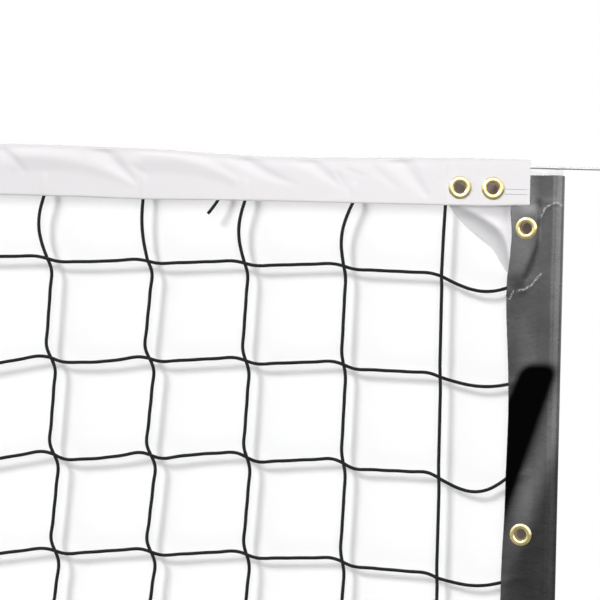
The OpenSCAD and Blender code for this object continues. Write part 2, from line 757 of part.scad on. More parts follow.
// Knotless netting: a grid of cords in one plane.
module netting() {
    top = cable_z - cable_d / 2 - running;
    bottom = rope_z + rope_d / 2 + running;
    color(cord_black) slab_y(-cord_d / 2, cord_d / 2) {
        for (i = upright_i)
            translate([i * mesh - edge_cord_x - cord_d / 2, bottom]) square([cord_d, top - bottom]);
        for (z = row_z)
            translate([-edge_cord_x, z - cord_d / 2]) square([2 * edge_cord_x, cord_d]);
    }
}

// Section of a band folded over the net's edge, open downwards, with its fold at y = height.
module folded_band(height, gap) {
    outer = gap / 2 + vinyl_t;
    difference() {
        union() {
            translate([-outer, 0]) square([2 * outer, height - outer]);
            translate([0, height - outer]) circle(outer);
        }
        translate([-gap / 2, -1]) square([gap, height - outer + 1]);
        translate([0, height - outer]) circle(gap / 2);
    }
}

module headband() {
    color(vinyl_white) difference() {
        translate([-band_end, 0, net_top - band_h]) rotate([90, 0, 90])
            linear_extrude(2 * band_end) folded_band(band_h, ply_gap);
        for (side = [-1, 1], x = head_grommet_x)
            bar_y([side * x, -ply_out - 1, net_top - head_grommet_drop], 2 * ply_out + 2, barrel_d + 2 * running);
    }
}

module bottom_band() {
    color(vinyl_black) translate([-band_end, 0, net_bottom + band_h]) rotate([90, 0, 90])
        linear_extrude(2 * band_end) mirror([0, 1]) folded_band(band_h, rope_gap);
}

// Side band: two plies over the netting's edge, with a pocket for the dowel.
module side_band(side) {
    pocket_bottom = net_bottom + pocket_drop;
    pocket_top = net_top - pocket_drop;
    flange_top = net_top - band_h;
    color(vinyl_black) on_side(side) difference() {
        union() {
            translate([pocket_x, 0, pocket_bottom]) cylinder(h = pocket_top - pocket_bottom, r = pocket_r);
            translate([flange_x, -ply_out, pocket_bottom])
                cube([pocket_x - flange_x, 2 * ply_out, flange_top - pocket_bottom]);
        }
        translate([pocket_x, 0, pocket_bottom - 1])
            cylinder(h = pocket_top - pocket_bottom + 2, r = pocket_r_in);
        translate([flange_x - 1, -ply_gap / 2, pocket_bottom - 1])
            cube([edge_cord_x + cord_d / 2 + running - flange_x + 1, ply_gap, flange_top - pocket_bottom + 2]);
        for (z = side_grommet_z)
            bar_y([side_grommet_x, -ply_out - 1, z], 2 * ply_out + 2, barrel_d + 2 * running);
    }
}

module dowel(side) {
    bottom = net_bottom + pocket_drop + dowel_inset;
    color(wood) on_side(side) translate([pocket_x, 0, bottom])
        cylinder(h = net_top - pocket_drop - dowel_inset - bottom, d = dowel_d);
}

// Vinyl web across an upper corner, with a hollow free edge.
module corner_web(side) {
    corner = [flange_x, net_top - band_h];
    tips = [corner - [web_w, 0], corner - [0, web_w]];
    middle = (tips[0] + tips[1]) / 2;
    out = sqrt(pow(web_edge_r, 2) - pow(norm(tips[0] - tips[1]) / 2, 2));
    color(vinyl_white) on_side(side) slab_y(ply_gap / 2, ply_out) difference() {
        polygon([corner, tips[0], tips[1]]);
        translate(middle - out * [1, 1] / sqrt(2)) circle(web_edge_r, $fn = 200);
    }
}

// A two-part grommet about Z: its eyelet is rolled over a washer on the far side.
module grommet() {
    r = grommet_hole_d / 2;
    rim = grommet_d / 2;
    bead = 1.5;
    rotate_extrude() {
        translate([r, -ply_out - grommet_t]) square([rim - r, grommet_t]);
        translate([rim - grommet_t, -ply_out - grommet_t]) circle(grommet_t);
        translate([r, -ply_out - grommet_t]) square([grommet_t, 2 * ply_out + 2 * grommet_t]);
        translate([r + bead, ply_out + grommet_t]) square([0.8, 0.5]);
        translate([r, ply_out + grommet_t]) square([bead + 0.8, 0.7]);
    }
    translate([0, 0, ply_out]) difference() {
        cylinder(h = grommet_t, r = rim);
        translate([0, 0, -1]) cylinder(h = grommet_t + 2, d = barrel_d + 2 * running);
    }
}

module grommets(side) {
    color(brass) on_side(side) {
        for (x = head_grommet_x) translate([x, 0, net_top - head_grommet_drop]) rotate([-90, 0, 0]) grommet();
        for (z = side_grommet_z) translate([side_grommet_x, 0, z]) rotate([-90, 0, 0]) grommet();
    }
}

module cord_tail() {
    color(cord_black) swept_tube(tail_route, tail_d, 8);
}

base(1);  // base_right
base(-1);  // base_left
feet(1);  // feet_right
feet(-1);  // feet_left
socket_bolt(1);  // socket_bolt_right
socket_bolt(-1);  // socket_bolt_left
outer_tube(1);  // outer_tube_right
outer_tube(-1);  // outer_tube_left
collar(1);  // collar_right
collar(-1);  // collar_left
bush(1);  // bush_right
bush(-1);  // bush_left
wheel_axles(1);  // wheel_axles_right
wheel_axles(-1);  // wheel_axles_left
wheel(1, -1);  // wheel_right_front
wheel(1, 1);  // wheel_right_rear
wheel(-1, -1);  // wheel_left_front
wheel(-1, 1);  // wheel_left_rear
clamp_screw(1);  // clamp_screw_right
clamp_screw(-1);  // clamp_screw_left
inner_tube(1);  // inner_tube_right
inner_tube(-1);  // inner_tube_left
guide_plug(1);  // guide_plug_right
guide_plug(-1);  // guide_plug_left
pulley_head();
anchor_head();
pulley_axle();
pulley();
pulley_bush();
anchor_pin();
thimble();
cable_eye();
top_cable();
cable_winding();
winch_frame();
winch_u_bolts();
gear_housing();
housing_cover();
drum();
drum_axle();
crank_shaft();
crank_arm();
crank_grip();
rope_clamp(1);  // rope_clamp_right
rope_clamp(-1);  // rope_clamp_left
rope_ring(1);  // rope_ring_right
rope_ring(-1);  // rope_ring_left
netting();
headband();
bottom_band();
side_band(1);  // side_band_right
side_band(-1);  // side_band_left
dowel(1);  // dowel_right
dowel(-1);  // dowel_left
corner_web(1);  // corner_web_right
corner_web(-1);  // corner_web_left
grommets(1);  // grommets_right
grommets(-1);  // grommets_left
bottom_rope();
cord_tail();
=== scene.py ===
"""Looks of a volleyball net on a steel cable between two free-standing telescopic posts.

Everything is in metres: X runs along the net, Y through it and Z up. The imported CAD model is
the frame, its hard parts keep their shapes and get their finishes here, and the soft ones,
which are the netting, the vinyl bands, the cable and the ropes, are built anew in their places.
"""

from __future__ import annotations

import json
import logging
import math
from dataclasses import dataclass, field
from enum import Enum
from typing import Mapping, Sequence, Union

import bpy
import numpy as np
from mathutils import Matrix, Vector

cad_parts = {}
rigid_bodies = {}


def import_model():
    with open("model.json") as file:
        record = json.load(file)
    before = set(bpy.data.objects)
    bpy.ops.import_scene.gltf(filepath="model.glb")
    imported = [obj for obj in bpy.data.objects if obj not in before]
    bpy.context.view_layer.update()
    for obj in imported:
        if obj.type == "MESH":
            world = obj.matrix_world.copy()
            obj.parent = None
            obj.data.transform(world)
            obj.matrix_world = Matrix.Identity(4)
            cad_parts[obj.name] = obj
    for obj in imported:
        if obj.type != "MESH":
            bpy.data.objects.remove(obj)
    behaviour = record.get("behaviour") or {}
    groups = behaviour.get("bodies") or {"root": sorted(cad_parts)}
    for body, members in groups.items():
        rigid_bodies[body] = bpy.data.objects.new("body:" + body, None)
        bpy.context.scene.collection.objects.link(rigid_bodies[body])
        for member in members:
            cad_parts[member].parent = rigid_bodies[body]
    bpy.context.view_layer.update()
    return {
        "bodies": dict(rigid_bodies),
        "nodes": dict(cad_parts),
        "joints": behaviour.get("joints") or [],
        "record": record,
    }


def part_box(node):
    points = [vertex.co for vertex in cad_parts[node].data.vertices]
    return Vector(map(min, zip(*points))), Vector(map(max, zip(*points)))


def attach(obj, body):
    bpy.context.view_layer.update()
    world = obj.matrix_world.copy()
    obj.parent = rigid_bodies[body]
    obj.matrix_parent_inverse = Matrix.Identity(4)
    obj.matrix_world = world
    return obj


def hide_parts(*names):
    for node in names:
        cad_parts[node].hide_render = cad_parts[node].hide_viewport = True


LOG = logging.getLogger("net")
MM = 0.001
CARRIAGE = "carriage"
FREE_EDGE_X = 4.8204
SEAM_X = 4.851
FLANGE_REACH = 3.5 * MM
CORNER_X = 4.25
HEAD_GROMMETS = 2
BOARD_GROMMETS = 4
WHITE = (1.0, 1.0, 1.0)
ROUND = 2 * math.pi
CORD_MARK = 2.4 * MM
EASE_X = 4.785
HOLE_CLEAR = 7.5 * MM
Colour = tuple[float, float, float]
Path = tuple[tuple[float, float], ...]
Numbers = tuple[float, ...]


class Side(Enum):
    """The two ends of the net, with the sign of their X."""

    RIGHT = 1
    LEFT = -1

    @property
    def word(self) -> str:
        """The side's name, as the nodes spell it."""
        return self.name.lower()


# ---- Shader maths ----


class Value:
    """A number on a shader link, on which the operators add Math nodes."""

    def __init__(self, graph: Graph, socket: bpy.types.NodeSocket) -> None:
        """Wraps an output socket of a node in a graph."""
        self.graph = graph
        self.socket = socket

    def op(self, operation: str, *others: Number) -> Value:
        """Applies one of the Math node's operations.

        Args:
            operation: the operation, as the node names it.
            others: its further operands.

        Returns:
            The result, as a value of the same graph.
        """
        inputs = dict(enumerate((self, *others)))
        return self.graph.value("ShaderNodeMath", {"operation": operation}, inputs)

    def __add__(self, other: Number) -> Value:
        """Sum."""
        return self.op("ADD", other)

    def __mul__(self, other: Number) -> Value:
        """Product."""
        return self.op("MULTIPLY", other)

    def __sub__(self, other: Number) -> Value:
        """Difference."""
        return self.op("SUBTRACT", other)

    def __rsub__(self, other: float) -> Value:
        """A number less this value."""
        return self * -1.0 + other

    def __truediv__(self, other: Number) -> Value:
        """Quotient."""
        return self.op("DIVIDE", other)

    def wave(self, period: float, shift: Number = 0.0) -> Value:
        """Sine of the value, with a period of its own and a shift in radians."""
        return (self * (ROUND / period) + shift).op("SINE")

    def within(self, low: float, high: float) -> Value:
        """The value, kept from low to high."""
        return self.op("MAXIMUM", low).op("MINIMUM", high)

    def hypot(self, other: Value) -> Value:
        """Square root of the two values' squares added."""
        return (self * self + other * other).op("SQRT")

    def step(self, low: float, high: float) -> Value:
        """Smooth step from 0 at low to 1 at high; low may be the larger.

        Args:
            low: where it is 0.
            high: where it is 1.

        Returns:
            The step.
        """
        return self.graph.value(
            "ShaderNodeMapRange",
            {"interpolation_type": "SMOOTHSTEP"},
            {"Value": self, "From Min": low, "From Max": high, "To Min": 0.0, "To Max": 1.0},
        )


Number = Union[float, Value]


class Graph:
    """A node tree that is being wired, of a material or of the world."""

    def __init__(self, tree: bpy.types.NodeTree) -> None:
        """Empties a tree and starts on it."""
        tree.nodes.clear()
        self.tree = tree

    def node(
        self,
        kind: str,
        settings: Mapping[str, object] | None = None,
        inputs: Mapping[str | int, object] | None = None,
    ) -> bpy.types.Node:
        """Adds a node.

        Args:
            kind: the node's type.
            settings: its own settings, set first.
            inputs: values or links of its sockets, by name or number.

        Returns:
            The node.
        """
        made = self.tree.nodes.new(kind)
        for name, setting in (settings or {}).items():
            setattr(made, name, setting)
        for key, given in (inputs or {}).items():
            socket = made.inputs[key]
            source = given.socket if isinstance(given, Value) else given
            if isinstance(source, bpy.types.NodeSocket):
                self.tree.links.new(source, socket)
            elif isinstance(source, tuple) and socket.type == "RGBA":
                socket.default_value = (*source[:3], 1.0)
            else:
                socket.default_value = source
        return made

    def value(
        self,
        kind: str,
        settings: Mapping[str, object] | None = None,
        inputs: Mapping[str | int, object] | None = None,
    ) -> Value:
        """Adds a node and returns its first output as a value."""
        return Value(self, self.node(kind, settings, inputs).outputs[0])

    def place(self) -> bpy.types.NodeSocket:
        """The point on the object, in its own coordinates."""
        return self.node("ShaderNodeTexCoord").outputs["Object"]

    def split(self, vector: bpy.types.NodeSocket) -> tuple[Value, Value, Value]:
        """The three parts of a vector."""
        parts = self.node("ShaderNodeSeparateXYZ", {}, {0: vector})
        return tuple(Value(self, out) for out in parts.outputs)

    def flat(self) -> tuple[Value, Value]:
        """The point on a sheet or cord as it was cut: across or around it, and along it.

        Returns:
            The two places.
        """
        cut = self.node("ShaderNodeUVMap", {"uv_map": "flat"})
        across, along, _ = self.split(cut.outputs[0])
        return across, along

    def attribute(self, name: str) -> Value:
        """A number that is kept with the mesh."""
        return Value(self, self.node("ShaderNodeAttribute", {"attribute_name": name}).outputs["Fac"])

    def noise(
        self, size: float, detail: float = 3.0, stretch: Colour = (1.0, 1.0, 1.0), rough: float = 0.5
    ) -> Value:
        """Noise from 0 to 1, with blotches of about a size, stretched along the axes.

        Args:
            size: size of a blotch.
            detail: how many finer layers it has.
            stretch: stretch along each axis.
            rough: strength of the finer layers.

        Returns:
            The noise.
        """
        scale = tuple(1.0 / (size * s) for s in stretch)
        at = self.node("ShaderNodeMapping", {}, {"Vector": self.place(), "Scale": scale})
        inputs = {"Vector": at.outputs[0], "Scale": 1.0, "Detail": detail, "Roughness": rough}
        return self.value("ShaderNodeTexNoise", {}, inputs)

    def blend(
        self, low: bpy.types.NodeSocket | Colour, high: bpy.types.NodeSocket | Colour, share: Number
    ) -> bpy.types.NodeSocket:
        """A colour between two, by a share of the second."""
        settings = {"data_type": "RGBA", "clamp_factor": True}
        return self.node("ShaderNodeMix", settings, {0: share, 6: low, 7: high}).outputs[2]

    def bump(
        self, height: Value, depth: float, below: bpy.types.NodeSocket | None = None
    ) -> bpy.types.NodeSocket:
        """A normal for a height from 0 to 1 that stands for a depth in metres.

        Args:
            height: the height.
            depth: what 1 of it is in metres.
            below: a normal to add it to.

        Returns:
            The normal.
        """
        inputs = {"Height": height, "Distance": depth, "Strength": 1.0}
        if below is not None:
            inputs["Normal"] = below
        return self.node("ShaderNodeBump", {}, inputs).outputs[0]

    def mix(self, share: Number, low: bpy.types.Node, high: bpy.types.Node) -> bpy.types.Node:
        """A shader between two, by a share of the second."""
        return self.node("ShaderNodeMixShader", {}, {0: share, 1: low.outputs[0], 2: high.outputs[0]})

    def emission(self, colour: bpy.types.NodeSocket | Colour, strength: float) -> bpy.types.Node:
        """A shader that glows."""
        return self.node("ShaderNodeEmission", {}, {"Color": colour, "Strength": strength})

    def ray(self, kind: str) -> Value:
        """1 on rays of a kind, as the light path node names it."""
        return Value(self, self.node("ShaderNodeLightPath").outputs[f"Is {kind} Ray"])

    def end(self, shader: bpy.types.Node, kind: str = "Material") -> None:
        """Links the last shader to the tree's output."""
        self.node(f"ShaderNodeOutput{kind}", {}, {"Surface": shader.outputs[0]})


def new_material(name: str) -> tuple[bpy.types.Material, Graph]:
    """An empty material, and the graph to wire it with.

    Args:
        name: its name.

    Returns:
        The material and its graph.
    """
    made = bpy.data.materials.new(name)
    made.use_nodes = True
    return made, Graph(made.node_tree)


@dataclass(frozen=True)
class Finish:
    """A surface finish. Each kind of finish wires its own nodes."""

    name: str
    colour: Colour

    def wire(self, graph: Graph) -> dict[str, object]:
        """The Principled shader's sockets for this finish."""
        raise NotImplementedError

    def shader(self, graph: Graph) -> bpy.types.Node:
        """The finish's shader."""
        return graph.node("ShaderNodeBsdfPrincipled", {}, self.wire(graph))

    def material(self) -> bpy.types.Material:
        """The finish as a material, made once.

        Returns:
            The material.
        """
        found = bpy.data.materials.get(self.name)
        if found is not None:
            return found
        made, graph = new_material(self.name)
        graph.end(self.shader(graph))
        return made


def shade(colour: Colour, factor: float) -> Colour:
    """A colour times a factor."""
    return tuple(c * factor for c in colour)


@dataclass(frozen=True)
class Vinyl(Finish):
    """Coated scrim cloth: a fine weave under a glossy coat, a duller back face, and painted light and shade
    in its colour.
    """

    # Colour of the back face where a sheet turns over; it also carries painted shade.
    reverse_and_shade: Colour = (0.5, 0.5, 0.5)
    roughness: float = 0.3
    ior: float = 1.5
    # Share of painted light that brightens the colour towards each end of the net.
    painted_end_light: float = 0.0
    thread: float = 1.1 * MM
    weave_depth: float = 0.02 * MM
    wrinkle_depth: float = 0.12 * MM

    def wire(self, graph: Graph) -> dict[str, object]:
        """Weave and fine wrinkles in the normal, blotches in colour and gloss, and painted light and shade in
        the colour.

        Args:
            graph: the material's graph.

        Returns:
            The shader's inputs, by socket.
        """
        across, along = graph.flat()
        weave = across.wave(self.thread) * along.wave(self.thread) * 0.5 + 0.5
        slubs = graph.noise(5 * MM, 2.0, (1.0, 1.0, 0.25))
        wrinkles = graph.noise(22 * MM, 3.0, (1.6, 1.0, 0.7))
        normal = graph.bump(weave * (slubs * 0.8 + 0.6), self.weave_depth)
        normal = graph.bump(wrinkles, self.wrinkle_depth, normal)
        blotch = graph.noise(60 * MM, 4.0)
        x, _, _ = graph.split(graph.place())
        # Painted light: the colour brightens from 4.28 m to 4.78 m out towards each end of the net.
        end_light_share = x.op("ABSOLUTE").step(4.28, 4.78) * self.painted_end_light
        tone = graph.blend(shade(self.colour, 0.965), shade(self.colour, 1.02), blotch)
        tone = graph.blend(tone, shade(self.colour, 1.1), end_light_share)
        # The back face's colour where the sheet is turned over, which also holds painted shade.
        tone = graph.blend(tone, self.reverse_and_shade, graph.attribute("reverse_and_shade"))
        # Painted shade: the colour darkens round the headband's top fold, by a number kept on its points.
        tone = graph.blend(tone, shade(self.colour, 0.78), graph.attribute("painted_crown_shade"))
        gloss = graph.noise(9 * MM, 3.0) * 0.1 + (self.roughness - 0.05)
        return {"Base Color": tone, "Roughness": gloss, "Normal": normal, "IOR": self.ior}


@dataclass(frozen=True)
class PaintedReflectionVinyl(Vinyl):
    """Glossy black vinyl whose coat is dull in places, most of all in one patch; the dull and glossy places
    copy the band's reflections, as painted reflection.

    The patch lies on the front of the right side band, under patch_top and above a slanting line through
    patch_at, beyond which the coat is glossier first and then half dull. Along a hollow crease it is duller,
    as painted shade, and it is duller too near the lower free edge. Two folds near the top have pale painted
    highlights.
    """

    dull: Colour = (0.0012, 0.0012, 0.0013)
    front_slope: float = 0.2288
    patch_top: float = 2.222
    patch_left: float = 4.8385
    patch_at: tuple[float, float] = (4.8510, 2.1518)
    patch_way: tuple[float, float] = (0.954, -0.300)
    # Colour of the painted highlights along two folds.
    pale_mark: Colour = (0.42, 0.42, 0.45)
    # Paths of the two folds whose ridges get painted highlights.
    lower_glint: Path = (
        (4.8224, 2.2863), (4.8264, 2.2939), (4.8364, 2.2958), (4.8436, 2.3005), (4.8484, 2.3069),
        (4.8523, 2.3117),
    )
    upper_glint: Path = (
        (4.8517, 2.3690), (4.8545, 2.3770), (4.8607, 2.3814), (4.8661, 2.3830), (4.8717, 2.3802),
    )
    hollow: Path = (
        (4.8490, 2.3840), (4.8486, 2.3640), (4.8473, 2.3390), (4.8426, 2.3220), (4.8374, 2.3095),
    )

    def wire(self, graph: Graph) -> dict[str, object]:
        """The vinyl's wiring, with painted highlights along two folds in its colour.

        Args:
            graph: the material's graph.

        Returns:
            The shader's inputs, by socket.
        """
        wired = super().wire(graph)
        # Painted highlight: pale speckled colour along the ridges of two folds near the top.
        marks = self.front(graph) * graph.noise(2.2 * MM, 4.0, (1.0, 1.0, 0.6)).step(0.36, 0.62)
        near = self.away(graph, self.lower_glint).op("MINIMUM", self.away(graph, self.upper_glint))
        painted_glint = near.step(1.6 * MM, 0.2 * MM) * marks
        wired["Base Color"] = graph.blend(wired["Base Color"], self.pale_mark, painted_glint)
        return wired

    def front(self, graph: Graph) -> Value:
        """1 on the band's front, on the slope of its flat part and round the dowel.

        Args:
            graph: the material's graph.

        Returns:
            The mask.
        """
        x, y, _ = graph.split(graph.place())
        slope = ((x - FREE_EDGE_X) * self.front_slope).within(0.0, 2 * FLANGE_REACH)
        return (y + slope).step(4.5 * MM, 2.5 * MM) * x.step(4.79, 4.80)

    @staticmethod
    def away(graph: Graph, path: Path) -> Value:
        """Distance on the front from a path, the least of those from its straight parts.

        Args:
            graph: the material's graph.
            path: points of X and Z.

        Returns:
            The distance.
        """
        at_x, _, at_z = graph.split(graph.place())
        least = None
        for start, end in zip(path, path[1:]):
            run, rise = end[0] - start[0], end[1] - start[1]
            x, z = at_x - start[0], at_z - start[1]
            along = ((x * run + z * rise) / (run * run + rise * rise)).within(0.0, 1.0)
            far = (x - along * run).hypot(z - along * rise)
            least = far if least is None else least.op("MINIMUM", far)
        return least

    def share(self, graph: Graph) -> Value:
        """How much of the glossy coat there is at each place, shaped to copy the band's reflections: a
        painted reflection.

        Args:
            graph: the material's graph.

        Returns:
            The share, from 0 for bare to 1 for coated.
        """
        x, _, z = graph.split(graph.place())
        front = self.front(graph)
        beyond = (x - self.patch_at[0]) * self.patch_way[0] + (z - self.patch_at[1]) * self.patch_way[1]
        under = z.step(self.patch_top + 5 * MM, self.patch_top - 5 * MM) * front
        left = (x - z * 0.38 - (self.patch_left - self.patch_top * 0.38)).step(-13 * MM, 10 * MM)
        top = z.step(self.patch_top + 12 * MM, self.patch_top - 13 * MM)
        # Painted reflection: the dull patch copies a dark reflection.
        patch = (beyond.step(11 * MM, -13 * MM) * left * top * front).step(0.12, 0.75)
        # Painted reflection: a glossier strip, then a half-dull part, beyond the patch.
        bright_reflection = beyond.step(2 * MM, 12 * MM) * beyond.step(34 * MM, 14 * MM) * under * z.step(2.01, 2.07)
        dim_reflection = beyond.step(14 * MM, 30 * MM) * under
        flange = x.step(4.850, 4.835) * z.step(2.295, 2.335) * front
        cloudy = graph.noise(34 * MM, 3.0) * 0.3 + graph.noise(9 * MM, 3.0, (1.0, 1.0, 0.1)) * 0.3 + 0.36
        # Painted shade: the coat is duller along the hollow crease.
        hollow = self.away(graph, self.hollow).step(6 * MM, 0.0) * front
        edge = x.step(4.842, 4.824) * z.step(2.300, 2.275) * z.step(2.19, 2.23) * front
        level = cloudy + bright_reflection * 0.3 - dim_reflection * 0.3 + flange * 0.3 - hollow * 0.3 - edge * 0.22
        return level * (1.0 - patch)

    def shader(self, graph: Graph) -> bpy.types.Node:
        """The glossy vinyl and the dull one, mixed by their share.

        Args:
            graph: the material's graph.

        Returns:
            The mixed shader.
        """
        wired = self.wire(graph)
        glossy = graph.node("ShaderNodeBsdfPrincipled", {}, wired)
        matt = {"Base Color": self.dull, "Roughness": 0.9, "IOR": 1.0, "Normal": wired["Normal"]}
        matt = graph.node("ShaderNodeBsdfPrincipled", {}, matt)
        return graph.mix(self.share(graph), matt, glossy)


@dataclass(frozen=True)
class Braid(Finish):
    """Braided cord, with plaits that cross round it."""

    plait: float = 2.4 * MM
    strands: float = 3.0
    depth: float = 0.12 * MM
    sheen: float = 0.25

    def wire(self, graph: Graph) -> dict[str, object]:
        """Two families of helices, one each way, whose crossings are the plaits.

        Args:
            graph: the material's graph.

        Returns:
            The shader's inputs, by socket.
        """
        around, along = graph.flat()
        turn = around * (ROUND * self.strands)
        one = along.wave(self.plait, turn)
        other = along.wave(self.plait, turn * -1.0)
        plaits = one * other * 0.5 + 0.5
        wear = graph.noise(30 * MM, 3.0)
        # The colour follows the plaits' height, lighter on the crests and darker in the grooves: painted
        # light and shade, scaled by the wear noise.
        tone = graph.blend(shade(self.colour, 0.55), shade(self.colour, 1.5), plaits * (wear * 0.6 + 0.4))
        return {
            "Base Color": tone,
            "Roughness": wear * 0.2 + 0.5,
            "Normal": graph.bump(plaits, self.depth),
            "IOR": 1.25,
            "Sheen Weight": self.sheen,
            "Sheen Roughness": 0.4,
        }


@dataclass(frozen=True)
class Brushed(Finish):
    """Bare or plated metal, with tarnish in blotches and fine scratches."""

    tarnish: Colour = (0.3, 0.3, 0.3)
    roughness: float = 0.3
    patch: float = 20 * MM
    scratch: Colour = (1.0, 1.0, 0.08)
    scratch_depth: float = 0.02 * MM

    def wire(self, graph: Graph) -> dict[str, object]:
        """Tarnish, scratches and finger marks.

        Args:
            graph: the material's graph.

        Returns:
            The shader's inputs, by socket.
        """
        blotch = graph.noise(self.patch, 4.0).step(0.35, 0.75)
        scratches = graph.noise(1.2 * MM, 2.0, self.scratch)
        marks = graph.noise(45 * MM, 3.0)
        return {
            "Base Color": graph.blend(self.colour, self.tarnish, blotch * 0.6),
            "Metallic": 1.0,
            "Roughness": marks * 0.16 + blotch * 0.08 + (self.roughness - 0.1),
            "Normal": graph.bump(scratches, self.scratch_depth),
        }


@dataclass(frozen=True)
class Eyelet(Brushed):
    """Rolled brass, with painted shade where its rim meets the cloth and where it turns into its hole."""

    scratch: Colour = (1.0, 1.0, 1.0)
    # Colour of the painted shade at the rim's foot and in the hole.
    lip: Colour = (0.16, 0.10, 0.035)

    def wire(self, graph: Graph) -> dict[str, object]:
        """As brushed, with painted shade in the lip's colour by the place on the ring's section.

        Args:
            graph: the material's graph.

        Returns:
            The shader's inputs, by socket.
        """
        made = super().wire(graph)
        _, section = graph.flat()
        # Painted shade: the rim's foot and the turn into the hole, with the curl and washer behind, take the
        # lip colour.
        edge = section.step(0.05, 0.01) + section.step(0.33, 0.45)
        made["Base Color"] = graph.blend(made["Base Color"], self.lip, edge * 0.85)
        return made


@dataclass(frozen=True)
class Galvanised(Finish):
    """Hot-dip zinc, with the flat crystals of its spangle."""

    roughness: float = 0.42
    crystal: float = 8 * MM

    def wire(self, graph: Graph) -> dict[str, object]:
        """Each crystal has its own shade and gloss.

        Args:
            graph: the material's graph.

        Returns:
            The shader's inputs, by socket.
        """
        inputs = {"Vector": graph.place(), "Scale": 1.0 / self.crystal}
        cells = graph.node("ShaderNodeTexVoronoi", {}, inputs)
        spangle, _, _ = graph.split(cells.outputs["Color"])
        streak = graph.noise(30 * MM, 4.0, (1.0, 1.0, 6.0))
        tone = graph.blend(shade(self.colour, 0.86), self.colour, spangle * 0.6 + streak * 0.4)
        return {
            "Base Color": tone,
            "Metallic": 0.85,
            "Roughness": spangle * 0.08 + (self.roughness - 0.04),
            "Normal": graph.bump(spangle * 0.3 + streak * 0.7, 0.04 * MM),
        }


@dataclass(frozen=True)
class Painted(Finish):
    """Powder coat over steel: orange peel, scuffs and, low down, dust."""

    roughness: float = 0.45
    peel: float = 1.6 * MM
    depth: float = 0.06 * MM
    dust: Colour = (0.45, 0.42, 0.38)

    def wire(self, graph: Graph) -> dict[str, object]:
        """Peel in the normal, scuffs in gloss and colour, and dust on what lies low.

        Args:
            graph: the material's graph.

        Returns:
            The shader's inputs, by socket.
        """
        peel = graph.noise(self.peel, 2.0)
        pale_mark = graph.noise(14 * MM, 5.0, (3.0, 1.0, 1.0), 0.65).step(0.62, 0.72)
        _, _, height = graph.split(graph.place())
        low = height.step(60 * MM, 25 * MM) * graph.noise(35 * MM, 4.0).step(0.4, 0.8)
        tone = graph.blend(self.colour, shade(self.colour, 1.45), pale_mark * 0.5)
        tone = graph.blend(tone, self.dust, low * 0.22)
        return {
            "Base Color": tone,
            "Roughness": pale_mark * 0.12 + low * 0.15 + self.roughness,
            "Normal": graph.bump(peel, self.depth),
        }


@dataclass(frozen=True)
class Cast(Finish):
    """Sand-cast or forged metal under grey paint."""

    roughness: float = 0.5

    def wire(self, graph: Graph) -> dict[str, object]:
        """Pitted skin with rubbed high spots.

        Args:
            graph: the material's graph.

        Returns:
            The shader's inputs, by socket.
        """
        skin = graph.noise(2.2 * MM, 4.0)
        rubbed = graph.noise(24 * MM, 4.0).step(0.55, 0.75)
        tone = graph.blend(shade(self.colour, 0.85), shade(self.colour, 1.35), rubbed * skin)
        return {
            "Base Color": tone,
            "Metallic": rubbed * 0.35 + 0.3,
            "Roughness": skin * 0.2 + (self.roughness - 0.1),
            "Normal": graph.bump(skin, 0.16 * MM),
        }


@dataclass(frozen=True)
class Moulded(Finish):
    """Moulded rubber or nylon, with a fine grain."""

    roughness: float = 0.6
    grain: float = 0.9 * MM
    ribs: float = 0.0

    def wire(self, graph: Graph) -> dict[str, object]:
        """Grain in the normal, bloom and dust in the colour, and ribs across X where asked.

        Args:
            graph: the material's graph.

        Returns:
            The shader's inputs, by socket.
        """
        grain = graph.noise(self.grain, 2.0)
        bloom = graph.noise(26 * MM, 4.0)
        tone = graph.blend(shade(self.colour, 0.85), shade(self.colour, 1.3), bloom)
        normal = graph.bump(grain, 0.05 * MM)
        if self.ribs > 0:
            along, _, _ = graph.split(graph.place())
            normal = graph.bump(along.wave(self.ribs) * 0.5 + 0.5, 0.7 * MM, normal)
        return {
            "Base Color": tone,
            "Roughness": bloom * 0.2 + (self.roughness - 0.1),
            "Normal": normal,
        }


@dataclass(frozen=True)
class Timber(Finish):
    """Turned beech dowel, with its grain along Z."""

    roughness: float = 0.55

    def wire(self, graph: Graph) -> dict[str, object]:
        """Long streaks of grain, and short dark flecks.

        Args:
            graph: the material's graph.

        Returns:
            The shader's inputs, by socket.
        """
        grain = graph.noise(2.5 * MM, 4.0, (1.0, 1.0, 14.0))
        flecks = graph.noise(0.8 * MM, 1.0, (1.0, 1.0, 4.0)).step(0.62, 0.7)
        tone = graph.blend(shade(self.colour, 0.8), self.colour, grain)
        tone = graph.blend(tone, shade(self.colour, 0.55), flecks * 0.5)
        return {
            "Base Color": tone,
            "Roughness": grain * 0.15 + (self.roughness - 0.05),
            "Normal": graph.bump(grain, 0.08 * MM),
        }


